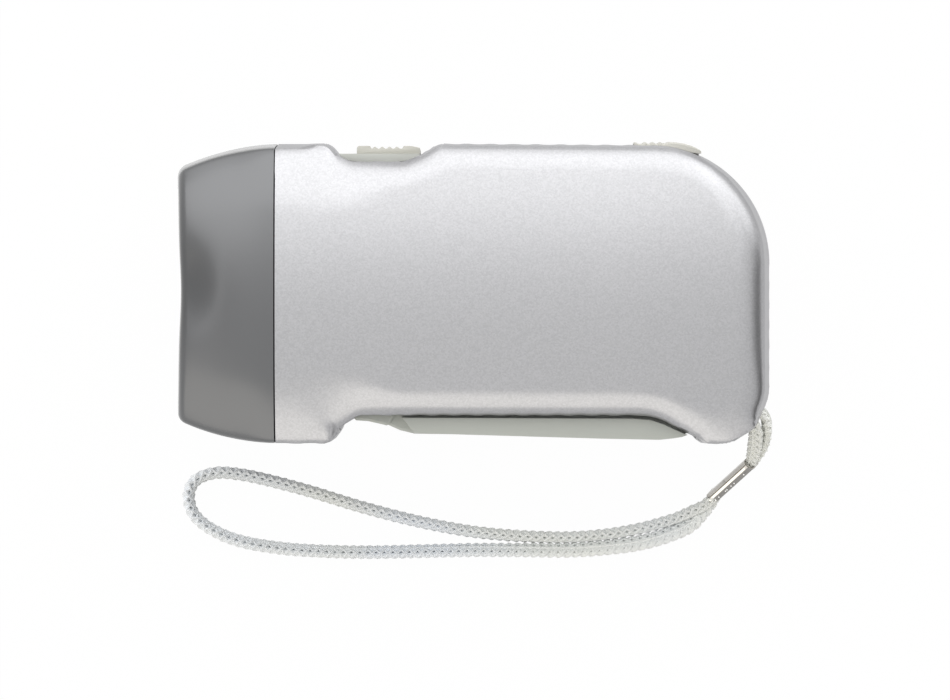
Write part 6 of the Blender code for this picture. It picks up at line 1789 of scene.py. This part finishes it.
carriedOver = {
    "board": ["led_board", "main_board"],
    "steel": [*numbered("led_board_screw", 2), "slide_switch_body",
              *numbered("battery_cell", 3), "lever_pin", "return_spring", "first_axle",
              "second_axle", "rotor_shaft", "flywheel", "stator_core",
              *numbered("frame_screw", 3)],
    "black": ["slide_switch_stem", *numbered("diode", 4), "capacitor", "battery_holder",
              "coil_bobbin"],
    "nylon": ["sector_gear", "first_gear", "second_gear", "rotor_pinion", "gear_frame",
              "gear_cover", "lock_arm"],
    "magnet": ["rotor_magnet"],
    "winding": ["coil_winding"],
    "wireRed": ["led_wire_1", "coil_wire_1"],
    "wireBlack": ["led_wire_2", "coil_wire_2"],
}
for finish, names in carriedOver.items():
    for name in names:
        for slot in nodes[name].material_slots:
            slot.material = finishes[finish]
        if not nodes[name].material_slots:
            nodes[name].data.materials.append(finishes[finish])
print("finishes given to", sum(len(names) for names in carriedOver.values()), "carried over nodes")


# Floor, light and background
studioLook = {
    "floorSize": 3.0,
    "floorHeight": -0.0002,
    "floorWhite": 0.93,
    "floorGrain": 300.0,
    "floorSpread": 0.01,
    "seenWhite": 0.98,  # how much of the floor a camera sees as plain white, and a mirror
    "mirroredWhite": 0.78,
    "world": 0.36,
    "key": {"place": (-0.15, 0.88, 1.13), "size": (2.9, 1.6), "power": 22.6},
    "side": {"place": (0.0, 1.30, 0.26), "size": (2.4, 0.6), "power": 4.5},
    "corner": {"place": (1.05, 0.80, 0.50), "size": (0.8, 0.8), "power": 2.8},
    "fill": {"place": (-0.35, -0.98, 0.84), "size": (2.4, 1.3), "power": 8.2},
    "warm": (1.0, 0.95, 0.86),
    "card": {"x": 0.75, "run": (-0.60, 0.12), "height": 0.45},
}


def addSheet(name, corners, finish):
    mesh = bpy.data.meshes.new(name)
    mesh.from_pydata(corners, [], [(0, 1, 2, 3)])
    mesh.materials.append(finish)
    return addObject(name, mesh)


def makeFloor():
    look = studioLook
    made, graph, place = startMaterial("floor_white")
    path = graph.add("ShaderNodeLightPath")
    grain = noise(graph, place, look["floorGrain"])
    shade = look["floorWhite"] + swing(grain, look["floorSpread"])
    colour = graph.add("ShaderNodeCombineColor", {}, {0: shade, 1: shade, 2: shade})
    plain = graph.add("ShaderNodeBsdfDiffuse", {}, {"Color": colour})
    glow = graph.add("ShaderNodeEmission", {}, {"Color": (1, 1, 1, 1), "Strength": 1.0})
    seen = path.out("Is Camera Ray") + path.out("Is Transmission Ray")
    share = seen * look["seenWhite"] + path.out("Is Glossy Ray") * look["mirroredWhite"]
    shader = graph.add("ShaderNodeMixShader", {}, {0: share, 1: plain, 2: glow})
    graph.add("ShaderNodeOutputMaterial", {}, {"Surface": shader})
    size, height = look["floorSize"], look["floorHeight"]
    corners = [(-size, -size, height), (size, -size, height), (size, size, height),
               (-size, size, height)]
    floor = addSheet("floor", corners, made)


def makeCard():
    # a dark card beyond the tail, out of the picture
    look = studioLook["card"]
    (front, back), height, x = look["run"], look["height"], look["x"]
    corners = [(x, front, 0), (x, back, 0), (x, back, height), (x, front, height)]
    card = addSheet("card", corners, finishes["black"])
    card.visible_camera = False


def makeLight(name, look, colour=(1, 1, 1)):
    data = bpy.data.lights.new(name, "AREA")
    data.shape = "RECTANGLE"
    data.size, data.size_y = look["size"]
    data.energy = look["power"]
    data.color = colour
    lamp = addObject(name, data)
    lamp.location = look["place"]
    lamp.rotation_euler = (-Vector(look["place"])).to_track_quat("-Z", "Y").to_euler()


def makeWorld():
    world = bpy.data.worlds.new("studio")
    bpy.context.scene.world = world
    world.use_nodes = True
    graph = Graph(world.node_tree)
    path = graph.add("ShaderNodeLightPath")
    seen = path.out("Is Camera Ray") + path.out("Is Glossy Ray") + path.out("Is Transmission Ray")
    level = studioLook["world"]
    dim = graph.add("ShaderNodeBackground", {}, {"Color": (1, 1, 1, 1), "Strength": level})
    white = graph.add("ShaderNodeBackground", {}, {"Color": (1, 1, 1, 1), "Strength": 1.0})
    shader = graph.add("ShaderNodeMixShader", {}, {0: seen, 1: dim, 2: white})
    graph.add("ShaderNodeOutputWorld", {}, {"Surface": shader})


makeFloor()
for name in ("key", "side", "corner"):
    makeLight(name, studioLook[name])
makeLight("fill", studioLook["fill"], studioLook["warm"])
makeCard()
makeWorld()
bpy.context.scene.view_settings.view_transform = "Standard"
print("studio made")
